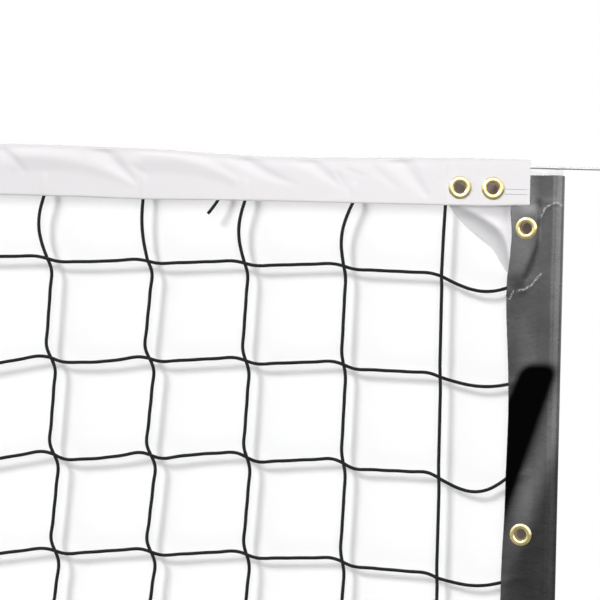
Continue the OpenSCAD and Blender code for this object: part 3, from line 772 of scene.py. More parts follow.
# The second colour is the back face's, kept dark enough to carry the corner webs' painted shade.
WHITE_VINYL = Vinyl(
    "white_vinyl", (0.525, 0.512, 0.521), (0.34, 0.34, 0.35), 0.42, painted_end_light=0.8, weave_depth=0.012 * MM
)
BLACK_VINYL = PaintedReflectionVinyl(
    "black_vinyl", (0.006, 0.006, 0.007), (0.01, 0.01, 0.01), 0.28, ior=2.0, thread=1.5 * MM
)
NET_CORD = Braid("net_cord", (0.005, 0.005, 0.0055), sheen=0.1)
EDGE_ROPE = Braid("edge_rope", (0.02, 0.02, 0.022), plait=4.5 * MM, strands=4.0, depth=0.3 * MM)
THREAD_GREY = Braid("thread_grey", (0.42, 0.42, 0.44), plait=0.8 * MM, depth=0.05 * MM)
THREAD_BLACK = Braid("thread_black", (0.02, 0.02, 0.022), plait=0.8 * MM, depth=0.05 * MM)
BRASS = Eyelet("brass_eyelet", (0.64, 0.56, 0.28), tarnish=(0.42, 0.31, 0.12), roughness=0.2, patch=5 * MM)
CABLE_STEEL = Brushed("cable_steel", (0.51, 0.51, 0.53), tarnish=(0.42, 0.42, 0.42), roughness=0.55)
FINISHES: dict[str, Finish] = {
    "base": Painted("base_coat", (0.058, 0.064, 0.07)),
    "tube": Painted("tube_coat", (0.46, 0.475, 0.49), roughness=0.36, depth=0.03 * MM),
    "rubber": Moulded("black_rubber", (0.02, 0.02, 0.022), ribs=4 * MM),
    "tread": Moulded("tyre_rubber", (0.03, 0.03, 0.032), roughness=0.75),
    "zinc": Galvanised("zinc_plate", (0.50, 0.52, 0.53)),
    "cast": Cast("cast_grey", (0.15, 0.165, 0.18)),
    "nylon": Moulded("white_nylon", (0.7, 0.69, 0.64), roughness=0.42),
    "steel": Brushed("machined_steel", (0.6, 0.61, 0.62), tarnish=(0.34, 0.33, 0.32), roughness=0.34),
    "cable": CABLE_STEEL,
    "bronze": Brushed("bush_bronze", (0.6, 0.36, 0.16), tarnish=(0.3, 0.17, 0.08), roughness=0.4),
    "vinyl_white": WHITE_VINYL,
    "vinyl_black": BLACK_VINYL,
    "cord": NET_CORD,
    "brass": BRASS,
    "wood": Timber("beech", (0.6, 0.42, 0.25)),
}


# ---- Surfaces ----


@dataclass
class Patch:
    """Part of a mesh: its points, its faces and the flat place of each face's corners."""

    points: np.ndarray
    quads: np.ndarray
    quad_uv: np.ndarray
    fans: np.ndarray = field(default_factory=lambda: np.zeros((0, 3), int))

    def flip(self) -> None:
        """Turns its quads over."""
        self.quads, self.quad_uv = self.quads[:, ::-1], self.quad_uv[:, ::-1]


def xyz(*parts: np.ndarray | float) -> np.ndarray:
    """Arrays and numbers of one shape, as coordinates along a last axis."""
    return np.stack(np.broadcast_arrays(*parts), -1)


def mm(values: Sequence[float]) -> np.ndarray:
    """Millimetres as metres."""
    return MM * np.array(values)


def middle(node: str, axis: int) -> float:
    """The middle of a CAD node's box along an axis."""
    low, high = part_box(node)
    return (low[axis] + high[axis]) / 2


def run_length(points: np.ndarray) -> np.ndarray:
    """Length of a path up to each of its points: the sum of |p(i + 1) - p(i)|, from 0."""
    return np.concatenate([[0.0], np.cumsum(np.linalg.norm(np.diff(points, axis=0), axis=1))])


def grid_quads(rows: int, columns: int, around: bool = False, back: bool = False) -> np.ndarray:
    """Quads of a grid whose point (i, j) has the number i * columns + j.

    Args:
        rows: lines of points.
        columns: points on a line.
        around: whether each line is closed.
        back: whether the lines too are closed, last to first.

    Returns:
        Corner numbers, one row of four a quad, in the order (i, j), (i + 1, j), (i + 1, j + 1),
        (i, j + 1).
    """
    lines, cells = rows if back else rows - 1, columns if around else columns - 1
    i, j = np.meshgrid(np.arange(lines), np.arange(cells), indexing="ij")
    below, beside = (i + 1) % rows, (j + 1) % columns
    corners = (i * columns + j, below * columns + j, below * columns + beside, i * columns + beside)
    return np.stack([c.ravel() for c in corners], 1)


def grid_patch(points: np.ndarray, flat: np.ndarray, keep: np.ndarray | None = None) -> Patch:
    """An open sheet from a grid of points.

    Args:
        points: the grid, rows by columns by 3.
        flat: each point's place on the cut sheet, rows by columns by 2.
        keep: which cells stay, rows - 1 by columns - 1, or all.

    Returns:
        The sheet, as a patch.
    """
    rows, columns, _ = points.shape
    quads = grid_quads(rows, columns)
    if keep is not None:
        quads = quads[keep.ravel()]
    return Patch(points.reshape(-1, 3), quads, flat.reshape(-1, 2)[quads])


def sweep(
    paths: np.ndarray, radius: float, sides: int, lobe: float = 0.0, lay: float = math.inf
) -> Patch:
    """Round cords along several paths of equally many points, none of whose steps runs along Y.

    With tangent t, u = t x Y made a unit and v = u x t, a ring's point at an angle is the
    path's point + r (cos(angle) u + sin(angle) v). Each ring is turned on by the length so far
    over the lay, and every second point of a ring lies in by lobe, which gives twisted strands.

    Args:
        paths: cords by points by 3.
        radius: the cord's radius.
        sides: points on a ring.
        lobe: how far every second point lies inside, as a share of the radius.
        lay: length in which the strands turn once.

    Returns:
        The closed tubes, as one patch.
    """
    cords, count, _ = paths.shape
    tangent = np.gradient(paths, axis=1)
    tangent /= np.linalg.norm(tangent, axis=2, keepdims=True)
    u = np.cross(tangent, [0.0, 1.0, 0.0])
    u /= np.linalg.norm(u, axis=2, keepdims=True)
    v = np.cross(u, tangent)
    gone = np.zeros((cords, count))
    gone[:, 1:] = np.cumsum(np.linalg.norm(np.diff(paths, axis=1), axis=2), axis=1)
    spoke = np.arange(sides)
    angle = ROUND * (spoke / sides + gone[..., None] / lay)
    reach = radius * (1 - lobe * (spoke % 2))
    ring = reach * np.cos(angle), reach * np.sin(angle)
    points = paths[:, :, None] + ring[0][..., None] * u[:, :, None] + ring[1][..., None] * v[:, :, None]
    quads = grid_quads(count, sides, around=True)
    step = np.tile(spoke, count - 1)
    line = np.repeat(np.arange(count - 1), sides)
    corner_turn = np.stack([step, step, step + 1, step + 1], 1) / sides
    corner_line = np.stack([line, line + 1, line + 1, line], 1)
    uv = np.stack([np.broadcast_to(corner_turn, (cords, *corner_turn.shape)), gone[:, corner_line]], -1)
    first = np.arange(cords)[:, None, None] * count * sides
    tips = cords * count * sides + np.arange(2 * cords).reshape(2, cords)
    ends = np.stack([spoke, (spoke + 1) % sides], 1)
    fans = [
        np.column_stack([np.full(sides, tips[end, cord]), (ends if end else ends[:, ::-1]) + offset])
        for cord in range(cords)
        for end, offset in enumerate((cord * count * sides, ((cord + 1) * count - 1) * sides))
    ]
    return Patch(
        np.concatenate([points.reshape(-1, 3), paths[:, 0], paths[:, -1]]),
        (quads[None] + first).reshape(-1, 4),
        uv.reshape(-1, 4, 2),
        np.concatenate(fans),
    )


def tube(
    path: np.ndarray,
    first: np.ndarray,
    second: np.ndarray,
    radius: float | np.ndarray,
    uv: tuple[np.ndarray, np.ndarray],
) -> Patch:
    """An open tube: a ring's point is path + r (cos(angle) first + sin(angle) second).

    Args:
        path: its line.
        first: unit vectors across it, one for each point or one for all.
        second: the same for the other direction across.
        radius: the radius, or that at each point.
        uv: the flat place of each point: the ring's angles, and the places along the tube.

    Returns:
        The tube, as a patch.
    """
    around, along = uv
    sides = len(around)
    reach = np.broadcast_to(radius, len(path))[:, None, None]
    turn = ROUND * around[:, None]
    points = path[:, None] + reach * np.cos(turn) * first[..., None, :]
    points = points + reach * np.sin(turn) * second[..., None, :]
    quads = grid_quads(len(path), sides, around=True)
    flat = np.stack([around[quads % sides], along[quads // sides]], -1)
    return Patch(points.reshape(-1, 3), quads, flat)


def lathe(profile: np.ndarray, centre: Sequence[float], lean: float, segments: int) -> Patch:
    """A ring turned from a closed profile, whose axis runs along Y but for a lean about Z.

    A point of the profile (r, y) at an angle a goes to centre + r cos(a) u + r sin(a) Z + y w,
    where u and w are X and Y turned about Z by the lean.

    Args:
        profile: points of radius and depth, in order round the section, anticlockwise.
        centre: the middle of the ring.
        lean: the turn about Z, in radians.
        segments: steps round the ring.

    Returns:
        The ring, as a patch.
    """
    turn = ROUND * np.arange(segments) / segments
    u = np.array([math.cos(lean), math.sin(lean), 0.0])
    w = np.array([-math.sin(lean), math.cos(lean), 0.0])
    r, y = profile[:, 0], profile[:, 1]
    out = np.cos(turn)[:, None, None] * u + np.sin(turn)[:, None, None] * np.array([0.0, 0.0, 1.0])
    points = np.asarray(centre) + r[None, :, None] * out + y[None, :, None] * w
    quads = grid_quads(segments, len(profile), around=True, back=True)
    uv = np.stack([quads // len(profile) / segments, quads % len(profile) / len(profile)], -1)
    return Patch(points.reshape(-1, 3), quads, uv)


def piece(
    name: str,
    patches: Sequence[Patch],
    finish: Finish,
    body: str = CARRIAGE,
    replaces: Sequence[str] = (),
    numbers: Mapping[str, np.ndarray] | None = None,
) -> bpy.types.Object:
    """Makes one object of patches, dresses it and hangs it on a body.

    Args:
        name: the piece's name.
        patches: the parts of its mesh.
        finish: its finish.
        body: the body that it moves with.
        replaces: CAD nodes that it stands for.
        numbers: further numbers to keep with its points, by name.

    Returns:
        The object, at the origin, with its place in its mesh.
    """
    starts = np.cumsum([0] + [len(p.points) for p in patches[:-1]])
    quads = np.concatenate([p.quads + s for p, s in zip(patches, starts)])
    fans = np.concatenate([p.fans + s for p, s in zip(patches, starts)])
    mesh = bpy.data.meshes.new(name)
    mesh.from_pydata(
        np.concatenate([p.points for p in patches]).tolist(), [], quads.tolist() + fans.tolist()
    )
    corners = np.concatenate([p.quad_uv.reshape(-1, 2) for p in patches])
    corners = np.concatenate([corners, np.zeros((3 * len(fans), 2))])
    mesh.uv_layers.new(name="flat").data.foreach_set("uv", corners.astype(np.float32).ravel())
    for key, values in (numbers or {}).items():
        kept = mesh.attributes.new(key, "FLOAT", "POINT")
        kept.data.foreach_set("value", values.astype(np.float32).ravel())
    mesh.polygons.foreach_set("use_smooth", np.ones(len(mesh.polygons), bool))
    mesh.materials.append(finish.material())
    mesh.update()
    made = bpy.data.objects.new(name, mesh)
    bpy.context.scene.collection.objects.link(made)
    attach(made, body)
    if replaces:
        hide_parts(*replaces)
    return made


def thicken(sheet: bpy.types.Object, thickness: float) -> None:
    """Gives a sheet its thickness, half to each side, and eases its edges.

    Args:
        sheet: the sheet.
        thickness: its thickness.
    """
    solid = sheet.modifiers.new("thickness", "SOLIDIFY")
    solid.thickness = thickness
    solid.offset = 0.0
    solid.use_even_offset = True
    eased = sheet.modifiers.new("eased", "BEVEL")
    eased.width = 0.2 * thickness
    eased.segments = 2
    eased.limit_method = "ANGLE"
    eased.angle_limit = math.radians(50)
    eased.harden_normals = True


def smooth(x: np.ndarray, low: float, high: float) -> np.ndarray:
    """Smooth step: t = (x - low) / (high - low) kept in 0 to 1, then t t (3 - 2 t)."""
    t = np.clip((x - low) / (high - low), 0.0, 1.0)
    return t * t * (3 - 2 * t)


def hump(x: np.ndarray, middle: float, width: float) -> np.ndarray:
    """Bell: exp(-((x - middle) / width) squared)."""
    return np.exp(-(((x - middle) / width) ** 2))


def stitches(points: np.ndarray, along: Sequence[float], out: Sequence[float], length: float) -> Patch:
    """A row of stitches.

    Each is a short thread whose middle stands proud and whose ends dive into the cloth: at
    t from -1 to 1 it lies at point + t length / 2 along + 0.3 mm (0.5 - t squared) out.

    Args:
        points: the middle of each stitch.
        along: the seam's direction.
        out: the direction out of the cloth.
        length: the length of a stitch.

    Returns:
        The stitches, as one patch.
    """
    t = np.linspace(-1.0, 1.0, 5)[None, :, None]
    paths = points[:, None] + t * length / 2 * np.asarray(along)
    return sweep(paths + 0.3 * MM * (0.5 - t**2) * np.asarray(out), 0.28 * MM, 5)


# ---- The net ----


def flange_lean(x: np.ndarray) -> np.ndarray:
    """Y of the net's plane near an end, by the distance from the net's middle.

    The side band's flat part slopes from 3.5 mm back at its free edge to 3.5 mm forward at its
    seam, and the rows of cord ease into that slope from further in.
    """
    eased = FLANGE_REACH * smooth(x, EASE_X, FREE_EDGE_X)
    return eased - 2 * FLANGE_REACH * np.clip((x - FREE_EDGE_X) / (SEAM_X - FREE_EDGE_X), 0.0, 1.0)


@dataclass
class Netting:
    """Knotless black netting, of uprights and rows that merge where they cross.

    The cords keep the waves of netting that was folded in a bag: each upright leans this way and
    that over half a metre, and drifts over each mesh, then jumps back at the junction.
    """

    cord_d: float = 3.4 * MM
    columns: int = 99
    rows: int = 8
    first_drop: float = 0.113
    band_drop: float = 0.050
    lean_period: float = 1.028
    lean_zero: float = 0.200
    lean_right: Numbers = (0.0, 1.8, 3.8, 6.0, 7.0, 10.0)
    lean_left: Numbers = (0.0, 1.0, 6.0, 9.0, 11.0, 8.0)
    aside_right: Numbers = (0.0, 1.7, 2.8, 2.8, 4.3, 3.4)
    drift_right: Numbers = (0.0, 0.3, 1.5, 2.4, 3.4, 3.2)
    head_right: Numbers = (0.0, 2.9, 9.3, 1.1, -3.9, -1.4)
    bow_right: Numbers = (0.0, 0.2, 6.5, 6.3, 3.2, 7.0)
    row_drift: Numbers = (1.7, 2.3, 3.1, 2.4, 2.0, 2.8, 2.2, 1.6)
    row_set: Numbers = (1.4, 0.9, -0.5, -1.5, -1.0, 0.5, 1.5, 0.5)
    head_in: float = 14 * MM
    edge_in: float = 30 * MM
    fine: float = 2.5 * MM
    coarse: float = 6.5 * MM
    knot: float = 6 * MM
    end_fall: Numbers = (9.9, 12.8, 15.7, 17.5, 14.0, 11.0, 8.0, 4.0)
    end_sag: Numbers = (17.5, 9.8, 26.0, 10.5, 16.0, 12.0, 14.0, 9.0)
    edge_fall: Numbers = (3.0, 10.0, -14.0, 10.0, 2.0, 5.0, 0.0, 0.0)
    bag_fall: Numbers = (0.0, 16.0, 11.5, 7.0, 3.0, 2.0, 1.0, 0.0)
    slack: tuple[tuple[int, int, float], ...] = ((0, 94, 1.6), (1, 94, 3.8), (2, 94, 3.2), (2, 95, -2.0))
    seed: int = 11

    def __post_init__(self) -> None:
        """Reads the net's place from the frame and settles each junction."""
        low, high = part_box("netting")
        self.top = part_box("headband")[1].z
        self.edge = high.x - (high.y - low.y) / 2
        self.bottom = self.top - middle("rope_ring_right", 2)
        self.mesh = 2 * self.edge / self.columns
        rng = np.random.default_rng(self.seed)
        number = self.columns + 1
        self.nominal = -self.edge + self.mesh * np.arange(number)
        rough = rng.normal(size=number + 4)
        lean = np.clip(5.3 * (rough[:-4] + rough[2:-2] + rough[4:]), -13.0, 13.0)
        self.lean = self._ends(lean, self.lean_right, self.lean_left)
        self.drift = self._ends(3.2 + 0.6 * rng.normal(size=number), self.drift_right)
        self.aside = self._ends(2.0 * rng.normal(size=number), self.aside_right)
        self.head = self._ends(2.5 * rng.normal(size=number), self.head_right)
        self.bow = self._ends(rng.uniform(2.0, 6.0, number), self.bow_right)
        self.phase = 0.25 * rng.normal(size=number)
        self.phase[-6:] = 0.0
        wander = np.cumsum(rng.normal(scale=0.5 * MM, size=(number, self.rows)), axis=0)
        wander -= np.linspace(0.0, 1.0, number)[:, None] * wander[-1]
        wander = np.clip(wander, -4 * MM, 4 * MM) * hump(self.nominal, 0.0, 3.6)[:, None]
        wander += mm(self.row_set) * hump(self.nominal, 4.46, 0.4)[:, None]
        level = self.first_drop + self.mesh * np.arange(self.rows)
        self.depth = level + wander
        self.depth[-7] = level + mm(self.bag_fall)
        self.depth[-6] += 0.11 * mm(self.bag_fall)
        for end in ((-1, -2, -3), (0, 1, 2)):
            for column, fall in zip(end, (mm(self.edge_fall), mm(self.end_fall), 0.2 * mm(self.end_fall))):
                self.depth[column] = level + fall
        self.crossing = self.upright_x(self.depth)

    @staticmethod
    def _ends(drawn: np.ndarray, right: Sequence[float], left: Sequence[float] = ()) -> np.ndarray:
        """Metres for each upright, with given millimetres at the two ends, from the edge inwards.

        Args:
            drawn: millimetres for every upright.
            right: those of the right end.
            left: those of the left end, or the same as the right's.

        Returns:
            The metres.
        """
        drawn[-len(right) :] = right[::-1]
        drawn[: len(right)] = left or right
        return drawn * MM

    def upright_x(self, depth: np.ndarray) -> np.ndarray:
        """X of each upright's easy line, by the depth below the net's top edge.

        It is the upright's own place, plus its set aside, plus its lean times
        sin(2 pi (depth - zero) / period + phase).

        Args:
            depth: uprights by points.

        Returns:
            X, uprights by points.
        """
        turn = ROUND * (depth - self.lean_zero) / self.lean_period + self.phase[:, None]
        return (self.nominal + self.aside)[:, None] + self.lean[:, None] * np.sin(turn)

    @staticmethod
    def saw(phase: np.ndarray) -> np.ndarray:
        """Drift within a mesh: sin(2 pi p) + 0.4 sin(4 pi p) + 0.15 sin(6 pi p)."""
        turn = ROUND * phase
        return np.sin(turn) + 0.4 * np.sin(2 * turn) + 0.15 * np.sin(3 * turn)

    def _phase(self, at: np.ndarray, junctions: np.ndarray) -> np.ndarray:
        """Meshes passed since the first junction, counting on evenly beyond the outer ones.

        Args:
            at: places along a cord.
            junctions: the places of its junctions.

        Returns:
            The number of meshes.
        """
        number = np.arange(len(junctions))
        inside = np.interp(at, junctions, number)
        before = (at - junctions[0]) / self.mesh
        beyond = number[-1] + (at - junctions[-1]) / self.mesh
        return np.where(at < junctions[0], before, np.where(at > junctions[-1], beyond, inside))

    def uprights(self, which: np.ndarray, step: float) -> np.ndarray:
        """Paths of some uprights, from inside the headband to the bottom rope.

        Args:
            which: the uprights' numbers, from the left.
            step: distance between the points of a path.

        Returns:
            The paths, uprights by points by 3.
        """
        depth = np.linspace(self.head_in, self.bottom, int(self.bottom / step))
        easy = self.upright_x(np.broadcast_to(depth, (self.columns + 1, len(depth))))[which]
        phase = np.stack([self._phase(depth, self.depth[k]) for k in which])
        below = phase > 0
        hung = np.clip((depth - self.band_drop) / (self.depth[which, :1] - self.band_drop), 0.0, 1.0)
        bay = self.head[which, None] * (1 - hung) - self.bow[which, None] * np.sin(np.pi * hung)
        x = easy + np.where(below, self.drift[which, None] * self.saw(phase), bay)
        away = (phase - np.round(phase)) * self.mesh
        ends = np.isin(which, (0, self.columns))
        x[ends] = easy[ends]
        depth = np.where(ends[:, None], np.linspace(self.edge_in, self.bottom, len(depth)), depth)
        y = 0.5 * MM * hump(away, 0.0, self.knot) * ~ends[:, None] + flange_lean(np.abs(x))
        return xyz(x, y, self.top - depth)

    def row(self, number: int, x: np.ndarray) -> np.ndarray:
        """The path of one row of cord, at given X.

        Between junctions it follows the straight line less its drift; in the two end meshes it
        sags by sag sin(pi t) instead.

        Args:
            number: the row, from the top.
            x: places along the net.

        Returns:
            The path, points by 3.
        """
        junctions = self.crossing[:, number]
        height = self.top - self.depth[:, number]
        phase = self._phase(x, junctions)
        away = (phase - np.round(phase)) * self.mesh
        end = (phase < 1) | (phase > self.columns - 1)
        arch = np.abs(np.sin(np.pi * phase))
        sag = np.where(end, self.end_sag[number] * arch, self.row_drift[number] * self.saw(phase))
        for row, bay, more in self.slack:
            within = (row == number) & (phase > bay) & (phase < bay + 1)
            sag = sag + within * more * arch
        z = np.interp(x, junctions, height) - MM * sag
        y = -0.5 * MM * hump(away, 0.0, self.knot) + flange_lean(np.abs(x))
        return xyz(x, y, z)

    def row_paths(self, start: float, end: float, step: float) -> np.ndarray:
        """Paths of every row between two X."""
        x = np.linspace(start, end, int((end - start) / step))
        return np.stack([self.row(number, x) for number in range(self.rows)])

    def build(self) -> None:
        """The corner's cords with fine steps, and the rest with coarser ones."""
        numbers = np.arange(self.columns + 1)
        near = self.nominal > CORNER_X - 10 * MM
        parts = {
            "corner": (
                (self.uprights(numbers[near], self.fine), 8),
                (self.row_paths(CORNER_X, self.edge, self.fine), 8),
            ),
            "uprights": ((self.uprights(numbers[~near], self.coarse), 6),),
            "rows": ((self.row_paths(-self.edge, CORNER_X + 1 * MM, self.coarse), 6),),
        }
        for name, cords in parts.items():
            swept = [sweep(paths, self.cord_d / 2, sides) for paths, sides in cords]
            piece(f"netting_{name}", swept, NET_CORD, replaces=["netting"])


@dataclass
class LaceEnd:
    """The cut end of a lacing cord that hangs out of the headband."""

    diameter: float = 3.2 * MM
    route: tuple[Colour, ...] = (
        (4.533, 0.0, 2.400), (4.532, 0.0, 2.390), (4.530, 0.0, 2.380), (4.525, -0.001, 2.372),
        (4.519, -0.002, 2.364),
    )

    def build(self) -> None:
        """Rides on a smooth line through its route, and is capped flat at each end."""
        knots = np.array(self.route)
        at = np.linspace(0, len(knots) - 1, 25)
        path = xyz(*(np.interp(at, np.arange(len(knots)), part) for part in knots.T))
        for _ in range(6):
            path[1:-1] = (path[:-2] + 2 * path[1:-1] + path[2:]) / 4
        tube = [sweep(path[None], self.diameter / 2, 12)]
        cord = piece("lace_end", tube, NET_CORD, replaces=["cord_tail"])


@dataclass(frozen=True)
class Crease:
    """A ridge with two flat flanks in a band, or a valley where its height is negative.

    It runs from start to end, which lies to the right, bows upwards between them and shrinks to
    a share of itself at the end.
    """

    start: tuple[float, float]
    end: tuple[float, float]
    height: float
    lower: float
    upper: float
    taper: float = 0.3
    bow: float = 0.0

    def rise(self, x: np.ndarray, z: np.ndarray) -> np.ndarray:
        """How far the cloth stands out: height s (1 - |b| / (s w)) where positive, by the ends' fade.

        With a along the chord and b across the line, which is bowed by 4 a (1 - a), s falls from
        1 to the taper, and w is the flank's width on that side.

        Args:
            x: places along the band.
            z: heights.

        Returns:
            The rise, in metres.
        """
        run = np.subtract(self.end, self.start)
        length = float(np.hypot(*run))
        way = run / length
        along = (x - self.start[0]) * way[0] + (z - self.start[1]) * way[1]
        across = (z - self.start[1]) * way[0] - (x - self.start[0]) * way[1]
        share = np.clip(along / length, 0.0, 1.0)
        across = across - 4 * self.bow * share * (1 - share)
        size = 1 - (1 - self.taper) * share
        flank = np.where(across > 0, self.upper, self.lower) * size
        ends = smooth(along, -14 * MM, 0.0) * smooth(along, length + 8 * MM * self.taper, length)
        return self.height * size * ends * np.clip(1 - np.abs(across) / flank, 0.0, 1.0)


@dataclass
class Headband:
    """White vinyl folded over the cable, with soft slanting folds and doubled ends."""

    ply: float = 1.0 * MM
    fold_r: float = 2.2 * MM
    patch_x: float = 4.757
    end_dip: float = 3.4 * MM
    dip: float = 4.9 * MM
    dip_x: float = 4.580
    dip_width: float = 0.115
    bulge: float = 1.2 * MM
    hem: float = 1.5 * MM
    sag: float = 1.7 * MM
    relief_share: float = 0.7
    tie_z: float = 2.394
    far_step: float = 10 * MM
    near_step: float = 1.75 * MM
    seam: tuple[float, float] = (4.8165, 4.8355)
    seam_z: tuple[float, float] = (2.3955, 2.3905)
    seed: int = 5

    def __post_init__(self) -> None:
        """Reads the band's place from the frame."""
        low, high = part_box("headband")
        self.bottom, self.top, self.end = low.z, high.z, high.x

    def creases(self) -> list[Crease]:
        """The corner's creases, which the cords' ties pull into the cloth, and others like them.

        Returns:
            The creases, the corner's first.
        """
        near = [
            Crease((4.3034, 2.4267), (4.3360, 2.4015), -1.3 * MM, 12 * MM, 6 * MM, 0.4, 3 * MM),
            Crease((4.3300, 2.4173), (4.4433, 2.3915), 1.6 * MM, 17 * MM, 16 * MM, 0.2, 8 * MM),
            Crease((4.4115, 2.4262), (4.4450, 2.3950), -2.4 * MM, 14 * MM, 13 * MM, 0.25),
            Crease((4.4459, 2.4081), (4.4601, 2.4004), -0.6 * MM, 3 * MM, 3 * MM, 0.5),
            Crease((4.4590, 2.4225), (4.5462, 2.3972), 1.9 * MM, 20 * MM, 15 * MM, 0.3, 5 * MM),
            Crease((4.5450, 2.4285), (4.6065, 2.3955), -2.1 * MM, 14 * MM, 12 * MM, 0.15, -4.5 * MM),
            Crease((4.6085, 2.4281), (4.6550, 2.3912), -2.0 * MM, 14 * MM, 12 * MM, 0.15),
            Crease((4.6501, 2.4029), (4.6646, 2.3833), -0.6 * MM, 3 * MM, 2.5 * MM, 0.6),
            Crease((4.6599, 2.4102), (4.6720, 2.4054), -0.5 * MM, 3 * MM, 3 * MM, 0.6),
            Crease((4.6859, 2.4118), (4.7073, 2.3943), -0.5 * MM, 7 * MM, 6 * MM, 0.6),
            Crease((4.7110, 2.4225), (4.7370, 2.3871), -2.1 * MM, 16 * MM, 13 * MM, 0.35),
            Crease((4.7519, 2.4133), (4.7566, 2.4254), 0.5 * MM, 2 * MM, 2 * MM, 0.6),
        ]
        rng = np.random.default_rng(self.seed)
        far = []
        for x in np.arange(-self.end + 0.09, CORNER_X, 0.097):
            x = x + rng.normal(scale=9 * MM)
            run = rng.uniform(35, 60) * MM
            drop = rng.uniform(16, 33) * MM
            height = rng.uniform(0.9, 1.8) * MM
            tie, start = (x, self.tie_z), (x - run, self.tie_z + drop)
            aside = (x - 1.5 * run, self.tie_z + 0.8 * drop)
            far.append(Crease(start, tie, -height, 9 * MM, 13 * MM, 0.15))
            far.append(Crease(aside, tie, height, 14 * MM, 9 * MM, 0.3, 5 * MM))
        return near + far

    def top_dip(self, x: np.ndarray) -> np.ndarray:
        """How far the top edge lies low: at the ends, in a bell near the corner, in slow waves.

        Args:
            x: places along the net.

        Returns:
            The dip, in metres.
        """
        waves = 1.6 * MM * (np.sin(x * 2.9) + 0.6 * np.sin(x * 7.3 + 1.0)) ** 2
        inside = smooth(x, CORNER_X, CORNER_X - 0.3) * smooth(x, -self.end, -self.end + 0.3)
        lower_end = self.end_dip * (0.2 + 0.8 * smooth(np.abs(x), 4.45, 4.70))
        return self.dip * hump(x, self.dip_x, self.dip_width) + lower_end + waves * inside

    def lower_edge(self, x: np.ndarray) -> np.ndarray:
        """Z of the lower edge, which sags a little between the doubled ends."""
        sag = self.sag * smooth(np.abs(x), 4.835, 4.79) + 1.2 * MM * hump(x, 4.46, 0.06)
        return self.bottom - sag

    def relief(self, x: np.ndarray, z: np.ndarray, cords: np.ndarray) -> np.ndarray:
        """How far a ply stands out: folds, the cords that press through, and the doubled end.

        Args:
            x: places along the band.
            z: heights.
            cords: X of the cords inside.

        Returns:
            The relief, in metres.
        """
        out = self.relief_share * sum(crease.rise(x, z) for crease in self.creases())
        nearest = np.min(np.abs(x[:, :1] - cords[None]), axis=1)[:, None]
        out = out + 0.5 * MM * hump(nearest, 0.0, CORD_MARK) * smooth(z, self.tie_z + 8 * MM, self.tie_z)
        edge = self.lower_edge(x)
        tucked = 1 - np.sqrt(1 - smooth(z, edge + self.hem, edge) ** 2)
        out = out - 0.45 * MM * tucked
        return out + 0.35 * MM * smooth(np.abs(x), self.patch_x - 1 * MM, self.patch_x + 1 * MM)

    def build(self, cords: np.ndarray) -> bpy.types.Object:
        """Front ply, fold and back ply, as one sheet.

        The section runs up the front at y = -r, round a half circle of radius r at the top, and
        down the back, where r grows by half the bulge away from the doubled ends and the plies
        swell by the other half below; they also stand out by the relief, which fades into the fold.

        Args:
            cords: X of the netting's uprights at the band's lower edge.

        Returns:
            The sheet.
        """
        near = np.linspace(CORNER_X, self.end, int((self.end - CORNER_X) / self.near_step))
        x = np.concatenate([np.arange(-self.end, CORNER_X, self.far_step), near])
        swell = self.bulge / 2 * smooth(np.abs(x), self.patch_x, self.patch_x - 30 * MM)
        round_r = self.fold_r + swell
        crown = self.top - self.ply / 2 - round_r - self.top_dip(x)
        up = np.concatenate([[0.0, 0.010, 0.020, 0.032], np.linspace(0.06, 1.0, 19)])
        down = np.linspace(1.0, 0.0, 6)
        bend = np.linspace(0.0, np.pi, 7)[1:-1]
        edge = self.lower_edge(x)[:, None]
        crown, round_r, swell = crown[:, None], round_r[:, None], swell[:, None]
        z_fold = crown + round_r * np.sin(bend)
        z = np.concatenate([edge + up * (crown - edge), z_fold, edge + down * (crown - edge)], 1)
        side = np.concatenate([-np.ones(len(up)), -np.cos(bend), np.ones(len(down))])
        wide = np.broadcast_to(x[:, None], z.shape)
        fade = smooth(z, crown + round_r, crown - 3 * MM)
        below = smooth(z, crown + round_r, crown - 10 * MM)
        y = side * (round_r + swell * below + self.relief(wide, z, cords) * fade)
        across = np.cumsum(np.concatenate([[0.0], np.abs(np.diff(z[0])) + 1e-4]))
        sheet = [grid_patch(xyz(wide, y, z), xyz(across, wide), self._round_grommets(wide, z))]
        # Painted shade: the colour darkens from just below the crown round the top fold.
        painted_crown_shade = {"painted_crown_shade": smooth(z, crown - 3 * MM, crown + 0.9 * round_r)}
        band = piece(
            "headband_sheet", sheet, WHITE_VINYL, replaces=["headband"], numbers=painted_crown_shade
        )
        thicken(band, self.ply)
        2 * self.end
        at = np.linspace(*self.seam, 6)
        seams = [
            stitches(xyz(at, -3.15 * MM, z_at), (1, 0, 0), (0, -1, 0), 2.8 * MM) for z_at in self.seam_z
        ]
        piece("headband_stitches", seams, THREAD_GREY)
        return band

    def _round_grommets(self, x: np.ndarray, z: np.ndarray) -> np.ndarray:
        """Cells that stay: those whose corner lies clear of every grommet's hole.

        Args:
            x: X of the grid's points.
            z: their Z.

        Returns:
            A mask of the cells.
        """
        keep = np.ones((x.shape[0] - 1, x.shape[1] - 1), bool)
        for place in grommet_places()[:HEAD_GROMMETS]:
            for sign in (-1, 1):
                far = np.hypot(x - sign * place[0], z - place[1]) > HOLE_CLEAR
                keep &= far[:-1, :-1] & far[1:, 1:] & far[:-1, 1:] & far[1:, :-1]
        return keep


def grommet_places() -> list[tuple[float, float]]:
    """X and Z of the grommets of the right end: two in the headband, then four down the side.

    Returns:
        The places, in the order that they are named in above.
    """
    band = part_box("headband")
    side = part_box("side_band_right")
    head_z = band[1].z - 34 * MM
    head = [(band[1].x - 37 * MM - n * 33 * MM, head_z) for n in range(2)]
    x = side[1].x - 37 * MM
    return head + [(x, 2.357), (x + 1.6 * MM, 2.051), (x, 1.745), (x, 1.589)]


